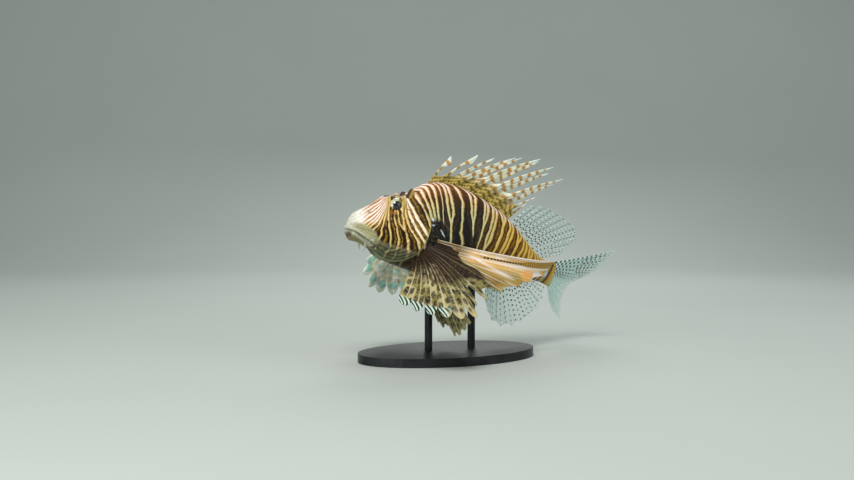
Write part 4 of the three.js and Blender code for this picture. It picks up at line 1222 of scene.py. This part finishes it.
# Rows of the near pectoral's markings against the distance along its rays, in millimetres: the seam
# of dashes in the pale top, a white streak below it, and the edge of the dark web.
seam_row = through([(30, 2.0), (54, 1.4), (78, 1.12), (91, 1.0), (113, 0.8), (131, 0.68), (160, 0.45)])
white_row = through([(20, 1.3), (34, 1.7), (46, 2.15), (57, 2.7), (69, 3.1), (90, 3.4)])
web_edge_row = through([
    (8, 0.7), (18, 1.2), (26, 1.8), (34, 3.1), (44, 4.0), (56, 4.8), (69, 5.2), (100, 5.4),
])
# The share of each ray from which its web is olive or tan.
olive_share = through([
    (0, 1.2), (4, 1.05), (5, 0.84), (6, 0.7), (8, 0.62), (10, 0.6), (11, 0.52), (13, 0.36),
])
# The dark and the pale colour of each fin's lobes, and the colour of their spots. The right pectoral's are
# far paler than the left's: painted light, a lit copy of the same fin's colours for the fin that lies in
# shade under the body.
LOBES = {
    "left": ("7e7438", "b4a878", "1f1811"),
    "right": ("ecebcb", "fdfcf0", "6a4a22"),
    "pelvic": ("7b7540", "a8a268", "2a2114"),
}


def dot(row, along, centre_row, centre_along, across, length):
    """A soft oval spot in rows and millimetres along the rays."""
    return smooth(1.25, 0.8, np.hypot((row - centre_row) / across, (along - centre_along) / length))


def pectoral_tints(side, row, share, along, lengths):
    """The fin's colours by row of rays and distance along them, with painted light on the right fin, and
    where the top bands lie.
    """
    flat = np.stack([along, row * 9, 0 * row], 1)
    waves, fine = wobble(flat, 21, 26), wobble(flat * (0.35, 1, 1), 22, 6)
    seam = row - seam_row(along)
    top = smooth(0.25, -0.25, row - web_edge_row(along) + 0.4 * waves + 0.2 * fine)
    lobe_dark, lobe_pale, spot_code = LOBES[side]
    from_share = olive_share(row) - (0.3 * smooth(6, 9, row) if side == "right" else 0)
    olive = smooth(-0.05, 0.05, share - from_share + 0.05 * waves) * (1 - top)
    late = smooth(80, 125, along)
    root = smooth(46, 26, along)
    near_root = 0.5 + 0.5 * np.cos(2 * math.pi * (row - 0.47) / 0.6)
    white = bell(row - white_row(along), 0.3) * smooth(95, 75, along)
    under_white = bell(row - white_row(along) - 0.42, 0.2) * smooth(90, 60, along)
    web = paint(
        "1c1511", (smooth(0.2, 0.8, fine + 0.3), "332619"),
        (smooth(0.3, 0.55, share) * smooth(8.5, 11, row) * smooth(-0.2, 0.6, fine), "6a5838"),
        (olive, lobe_dark), (olive * smooth(-0.1, 0.7, fine), lobe_pale),
        (olive * smooth(0.82, 0.93, share) * smooth(5.5, 6.5, row), lobe_pale),
        (top, "a68c40"), (top * smooth(0.1, 0.8, waves) * smooth(2.4, 3.2, row), "7c6128"),
        (top * smooth(1.9, 1.2, seam), "e4b250"), (top * smooth(1.4, 0.9, seam) * late, "f0c87e"),
        (top * white, "f2e8de"), (top * under_white, "d8943a"), (top * bell(seam - 0.6, 0.17), "f6e9e4"),
        (top * smooth(0.3, 0.1, seam), "deb060"), (top * smooth(-0.12, -0.3, seam), "edc580"),
        (top * smooth(-0.2, -0.5, seam) * smooth(0.3, 0.9, fine), "f3e2d6"),
        (top * dot(row, along, 0.3, 100, 0.5, 17), "f0ac4c"),
        (top * dot(row, along, 0.15, 135, 0.5, 16), "f5dcb0"),
        (top * dot(row, along, 2.6, 112, 0.8, 12), "eda63e"),
        (top * dot(row, along, 2.5, 130, 0.9, 9), "f1e6e6"),
        (top * smooth(0.42, 0.2, row) * smooth(20, 50, along), "f3e6da"), (top * root, "b0873a"),
        (top * root * smooth(-0.1, 0.7, fine), "eadfc2"),
        (top * root * smooth(0.05, 0.4, near_root), "1a130d"))
    ray = paint(
        "4a3a2a", (smooth(0.15, 0.5, share), "8c7656"),
        (smooth(9, 11, row) * smooth(0.2, 0.4, share), "b0a078"), (olive, "c9c09a"), (top, "b99c5c"),
        (top * smooth(1.9, 1.2, seam), "f3e8da"), (top * root, "9a7836"))
    spots, dashes_pale = np.zeros(len(row)), np.zeros(len(row))
    draw = np.random.default_rng(31)
    for k in range(5, PECTORAL_RAYS):
        for seat in (-0.3, 0.2):
            first = draw.uniform(0, 9)
            for i in range(9):
                place = 22 + first + 10.5 * i + draw.uniform(-1, 1)
                centre = k + seat + draw.uniform(-0.07, 0.07)
                near = dot(row, along, centre, place, 0.2, draw.uniform(3.2, 4.8))
                spots = np.maximum(spots, near * draw.uniform(0.75, 1))
                near = dot(row, along, k + seat + 0.25, place + 5, 0.09, draw.uniform(2.5, 4.5))
                dashes_pale = np.maximum(dashes_pale, near * draw.uniform(0.4, 0.9))
    web = mix(web, tone("b5a888"), (dashes_pale * (1 - top) * (1 - olive) * smooth(8, 10, row))[:, None])
    spots = spots * np.maximum(olive, 0.3) * smooth(0.97, 0.9, share + 0.04 * waves)
    # The right fin's fainter spots, cyan windows and pale tips are painted light: they brighten the fin that
    # lies in shade under the body.
    if side == "right":
        spots = 0.35 * spots
        painted_light_window = np.zeros(len(row))
        for k in range(5, PECTORAL_RAYS):
            centre = k + draw.uniform(-0.1, 0.1)
            painted_light_window = np.maximum(painted_light_window, dot(row, along, centre, 0.86 * lengths, 0.36, 5.0))
            painted_light_window = np.maximum(painted_light_window, 0.8 * dot(row, along, k + 0.4, 0.6 * lengths, 0.2, 4.0))
        web = mix(web, tone("a4eadc"), (painted_light_window * olive)[:, None])
        web = mix(web, tone("eef4e4"), (smooth(0.93, 0.97, share) * olive)[:, None])
    web = mix(web, tone(spot_code), (spots * (1 - top))[:, None])
    dashes = smooth(0.88, 0.9, share + 0.02 * waves) * smooth(9.2, 10.2, row) if side == "left" else 0 * row
    seam_width = mix(0.22, 0.5, smooth(96, 112, along))
    seam_on = smooth(50, 56, along) * (row < 3)
    return web, ray, np.stack([seam / seam_width, top, dashes], 1), seam_on


def pectoral_material(side):
    """Rays and streaks over the fin's baked colours, the dashed seam and the dashed tips."""
    p = Paint("pectoral_" + side)
    off, along, _ = p.parts("fin")
    share, seam_on, row = p.parts("vane")
    seam, top, dashes = p.parts("bands")
    streaks = p.noise(p.vector(row, p.times(share, 0.35), 0.0), 7.0, 3)
    mottle = p.noise(p.vector(p.times(row, 1.2), p.times(along, 0.1), 0.0), 5.0, 3)
    on_ray = p.times(p.ramp(p.size(off), 0.7, 0.3), p.ramp(mottle, 0.3, 0.6, 0.35, 1.0))
    colour = p.blend(p.times(p.ramp(mottle, 0.45, 0.7), 0.35), p.tint("tint_web"), p.tint("tint_ray"))
    colour = p.blend(p.times(on_ray, p.ramp(top, 0.0, 1.0, 0.8, 0.45)), colour, p.tint("tint_ray"))
    colour = p.blend(p.times(p.ramp(streaks, 0.5, 0.66), 0.6, top), colour, tone("f6eee4"))
    colour = p.blend(p.times(p.ramp(streaks, 0.46, 0.34), 0.5, top), colour, tone("b9853a"))
    rung = p.ramp(p.zigzag(p.math("DIVIDE", along, 3.6)), 0.34, 0.26)
    dark_rungs = p.blend(rung, tone("c79f56"), tone("221810"))
    golden_rungs = p.blend(rung, tone("d8a83c"), tone("8c681c"))
    seam_share = p.times(p.ramp(p.size(seam), 1.05, 0.75), seam_on)
    colour = p.blend(seam_share, colour, p.blend(p.ramp(along, 96.0, 108.0), dark_rungs, golden_rungs))
    slant = p.plus(p.times(row, 2.3), p.times(share, 14.0))
    dash = p.ramp(p.zigzag(slant), 0.2, 0.3)
    colour = p.blend(dashes, colour, p.blend(dash, tone("2c281a"), tone("bcd6c4")))
    p.bump(p.plus(streaks, p.times(mottle, 0.4)), 0.25, 0.0006)
    return p.finish(colour, 0.45, Specular_IOR_Level=0.2)


def pectoral_root(t):
    x, z = mix(PECTORAL_TOP[0], PECTORAL_FOOT[0], t), mix(PECTORAL_TOP[1], PECTORAL_FOOT[1], t)
    return x, ROOT_DEPTH / 2 - half_width_at(x, z), z


def pectoral_notch(k):
    """The share of the pectoral's ray up to which its web goes: the lower vanes are the freest."""
    return 0.95 if k < 5 else 0.86 if k == 5 else 0.74


def vane(k, s, q):
    """A vane's half width: rounded off towards its tip and wider in front. The fin's top edge is thin."""
    if k == 0 and q < 0:
        return 1.0 + 0 * s
    front = smooth(7, 10, k)
    start = mix(0.7, 0.8, front)
    late = np.clip((s - start) / (1 - start), 0, 1)
    rounding = np.sqrt(1 - late ** mix(2, 2.8, front))
    return 0.35 + mix(5.4, 6.8, front) * np.minimum(0.3 + 2.4 * s, 1) * rounding


def add_streaked_fin(side, name, node, material, sheet, fin, share, row, tints):
    """Adds a fin with colours of its own; the right one is the mirror image of its sheet."""
    web, ray, bands, seam_on = tints
    vane_field = np.stack([share, seam_on, row], 1)
    fields = {"fin": fin, "vane": vane_field, "bands": bands, "tint_web": web, "tint_ray": ray}
    add_fin(name + side, node + side, material, (*for_side(side, *sheet[:2]), fields))


def make_pectoral(side):
    rises, outwards, lengths = (through(stations) for stations in PECTORAL_SPREAD[side])
    rays = fan(PECTORAL_RAYS, pectoral_root, rises, lengths, outwards,
               lambda k: (math.radians(pectoral_curls(k)), PECTORAL_BOW))
    swing = random.uniform(-1, 1, PECTORAL_RAYS)

    def lift(k, s, q, free):
        cup = -0.5 * q * q * free
        apart = 0.6 * (k % 2 * 2 - 1) * free
        twist = q * swing[k] * 0.8 * free
        billow = 0.5 * abs(q) * np.sin(math.pi * s) * (1 - free)
        return cup + apart + twist + billow

    sheet = fin_sheet(rays, rows_to(PECTORAL_ROWS), PECTORAL_COLUMNS, vane, pectoral_notch,
                      ridge(1.1, 0.16, 0.55), lift)
    off, _, k, q = sheet[2].T
    row = k + 0.5 * q
    length = np.interp(row, np.arange(PECTORAL_RAYS), [ray.length for ray in rays])
    share = along_share(sheet[2], rays)
    tints = pectoral_tints(side, row, share, share * length, length)
    fin = np.stack([off, share * length, k], 1)
    add_streaked_fin(side, "pectoral_fine_", "pectoral_fin_", pectoral_material(side), sheet, fin, share, row,
                     tints)


PELVIC_RAYS = 6
# Each pelvic fin's rises, and how far its first and last rays turn outwards
PELVIC_SPREAD = {
    "left": ([(0, -71), (2, -70), (5, -50)], (24, 10)),
    "right": ([(0, -60), (2, -57), (5, -40)], (8, 4)),
}
pelvic_lengths = through([(0, 46), (2, 62), (5, 56)])
# The pelvic fins are coloured as rows 7 to 12 of a pectoral with rays of this length.
PELVIC_FIRST_ROW = 7
PELVIC_COLOUR_LENGTH = 90


def pelvic_root(t):
    x = mix(80, 90, t)
    z = body_bottom(x) + 6
    return x, ROOT_DEPTH - half_width_at(x, z), z


def make_pelvic(side):
    rises, outwards = PELVIC_SPREAD[side]
    rays = fan(PELVIC_RAYS, pelvic_root, through(rises), pelvic_lengths,
               lambda k: mix(*outwards, k / (PELVIC_RAYS - 1)), lambda k: (-0.1, 0.05))
    sheet = fin_sheet(
        rays, rows_to(FIN_ROWS), FIN_COLUMNS, lambda k, s, q: 1.6 + 0 * s, whole_web, ridge(1.0, 0.15, 0.55))
    values = sheet[2]
    share = along_share(values, rays)
    row = values[:, 2] + 0.5 * values[:, 3] + PELVIC_FIRST_ROW
    length = PELVIC_COLOUR_LENGTH + 0 * row
    tints = pectoral_tints("pelvic", row, share, share * length, length)
    add_streaked_fin(side, "pelvic_fine_", "pelvic_fin_", pelvic_paint, sheet, values[:, :3], share, row,
                     tints)


pelvic_paint = pectoral_material("pelvic")
for side in SIDES:
    make_pectoral(side)
    make_pelvic(side)


# Brow tentacles: short soft knobs, dark in front and yellow behind
def knob_material():
    p = Paint("brow_knob")
    patchy = p.noise(p.field("straight"), 60, 3)
    colour = p.blend(p.ramp(patchy, 0.35, 0.7), p.tint("tint_knob"), tone("3a2114"))
    p.bump(patchy, 0.3, 0.0005)
    return p.finish(p.blend(0.65, colour, p.tint("tint_knob")), 0.5)


KNOB_RADIUS = 3.2
KNOB_FOOT = np.array([50.3, -7.5, 33.5])
KNOB_TIPS = {"left": np.array([52.2, -9.6, 43.4]), "right": np.array([52.4, -9.2, 40.6])}


def make_knob(side, material):
    s = np.linspace(0, 1, 22)
    tip = KNOB_TIPS[side]
    line = mix(KNOB_FOOT, tip, s[:, None])
    radii = KNOB_RADIUS * np.sqrt(np.clip(1 - s**3.5, 0.01, 1)) * (1 - 0.12 * np.sin(s * math.pi))
    points, faces, share = tube(line, radii, 20)
    off = points - mix(KNOB_FOOT, tip, share[:, None])
    behind = (0.85 * off[:, 0] - 0.5 * off[:, 1]) / KNOB_RADIUS
    yellow = smooth(-0.05, 0.3, behind)[:, None]
    # The knob's colour is halved towards its foot: painted shade where it meets the head.
    tint = mix(tone("3d1c10"), tone("c9a648"), yellow) * mix(1, 0.5, smooth(0.4, 0, share))[:, None]
    fields = {"straight": points / 100, "tint_knob": tint}
    gather = Gather()
    gather.add(*for_side(side, points, faces), **fields)
    dress(gather.build("brow_tentacle_fine_" + side), material, "skin", "brow_tentacle_" + side)


knob_paint = knob_material()
for side in SIDES:
    make_knob(side, knob_paint)


# Stand
def metal_material():
    p = Paint("black_metal")
    place = p.put("ShaderNodeTexCoord").outputs["Object"]
    grain = p.noise(place, 900, 3)
    colour = p.blend(p.ramp(p.noise(place, 60, 4), 0.4, 0.65), tone("1c1d1f"), tone("2a2c2e"))
    p.bump(grain, 0.08, 0.0004)
    return p.finish(colour, p.ramp(grain, 0.3, 0.7, 0.34, 0.46), Metallic=0.6)


metal = metal_material()
for name in ("stand_base", "stand_rod_front", "stand_rod_rear"):
    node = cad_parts[name]
    node.data.materials.clear()
    node.data.materials.append(metal)


# Studio
STAGE_HALF_WIDTH = 7.0
STAGE_FRONT, STAGE_CURVE_START, STAGE_CURVE_RADIUS, STAGE_TOP = -6.0, 1.0, 0.8, 4.0
STAGE_CURVE_STEPS = 16
CAMERA_AZIMUTH = math.radians(-25)


def make_stage():
    """A floor that curves up into a wall behind the object, turned to face the camera."""
    profile = [(STAGE_FRONT, 0.0), (STAGE_CURVE_START, 0.0)]
    for i in range(1, STAGE_CURVE_STEPS + 1):
        angle = i / STAGE_CURVE_STEPS * math.pi / 2
        profile.append((STAGE_CURVE_START + STAGE_CURVE_RADIUS * math.sin(angle),
                        STAGE_CURVE_RADIUS * (1 - math.cos(angle))))
    profile.append((profile[-1][0], STAGE_TOP))
    c, s = math.cos(CAMERA_AZIMUTH), math.sin(CAMERA_AZIMUTH)
    sides = (-STAGE_HALF_WIDTH, STAGE_HALF_WIDTH)
    turned = [(x * c - y * s, x * s + y * c, z) for x in sides for y, z in profile]
    stage = build_mesh("studio_floor", turned, grid_faces(2, len(profile))[:, ::-1])
    p = Paint("studio_floor")
    place = p.put("ShaderNodeTexCoord").outputs["Object"]
    colour = p.blend(p.noise(place, 3.0, 2), tone("b4bbb6"), tone("bcc3be"))
    stage.data.materials.append(p.finish(colour, 0.85))


make_stage()


def aim(thing, place, target):
    thing.location = place
    thing.rotation_euler = (Vector(target) - Vector(place)).to_track_quat("-Z", "Y").to_euler()


def area_light(name, place, target, size, power, colour=(1, 1, 1)):
    light = bpy.data.lights.new(name, "AREA")
    light.shape = "DISK"
    light.size = size
    light.energy = power
    light.color = colour
    thing = bpy.data.objects.new(name, light)
    bpy.context.scene.collection.objects.link(thing)
    aim(thing, place, target)


CENTRE = (0.03, 0, 0.11)
area_light("key", (-0.6, -0.8, 1.4), CENTRE, 0.7, 19, (1.0, 0.985, 0.95))
area_light("fill", (0.9, -0.9, 0.6), CENTRE, 1.2, 3.5, (0.94, 0.98, 1.0))
area_light("rim", (0.5, 0.9, 0.9), CENTRE, 0.8, 6)
area_light("low", (-0.95, -0.5, 0.16), CENTRE, 0.6, 4, (0.96, 0.99, 1.0))

world = bpy.data.worlds.new("studio")
world.use_nodes = True
background = world.node_tree.nodes["Background"].inputs
background["Color"].default_value = (0.86, 0.93, 0.92, 1)
background["Strength"].default_value = 0.32
bpy.context.scene.world = world
bpy.context.scene.view_settings.view_transform = "Standard"

# Camera
CAMERA_HEIGHT_ANGLE = math.radians(3)
CAMERA_DISTANCE = 1.0652
CAMERA_TARGET = np.array([-0.0202, 0, 0.1079])
CAMERA_BACK = np.array([
    math.sin(CAMERA_AZIMUTH) * math.cos(CAMERA_HEIGHT_ANGLE),
    -math.cos(CAMERA_AZIMUTH) * math.cos(CAMERA_HEIGHT_ANGLE),
    math.sin(CAMERA_HEIGHT_ANGLE),
])
lens = bpy.data.cameras.new("camera")
lens.lens = 50
lens.sensor_width = 36
lens.clip_start = 0.01
camera = bpy.data.objects.new("camera", lens)
bpy.context.scene.collection.objects.link(camera)
aim(camera, tuple(CAMERA_TARGET + CAMERA_BACK * CAMERA_DISTANCE), tuple(CAMERA_TARGET))
bpy.context.scene.camera = camera
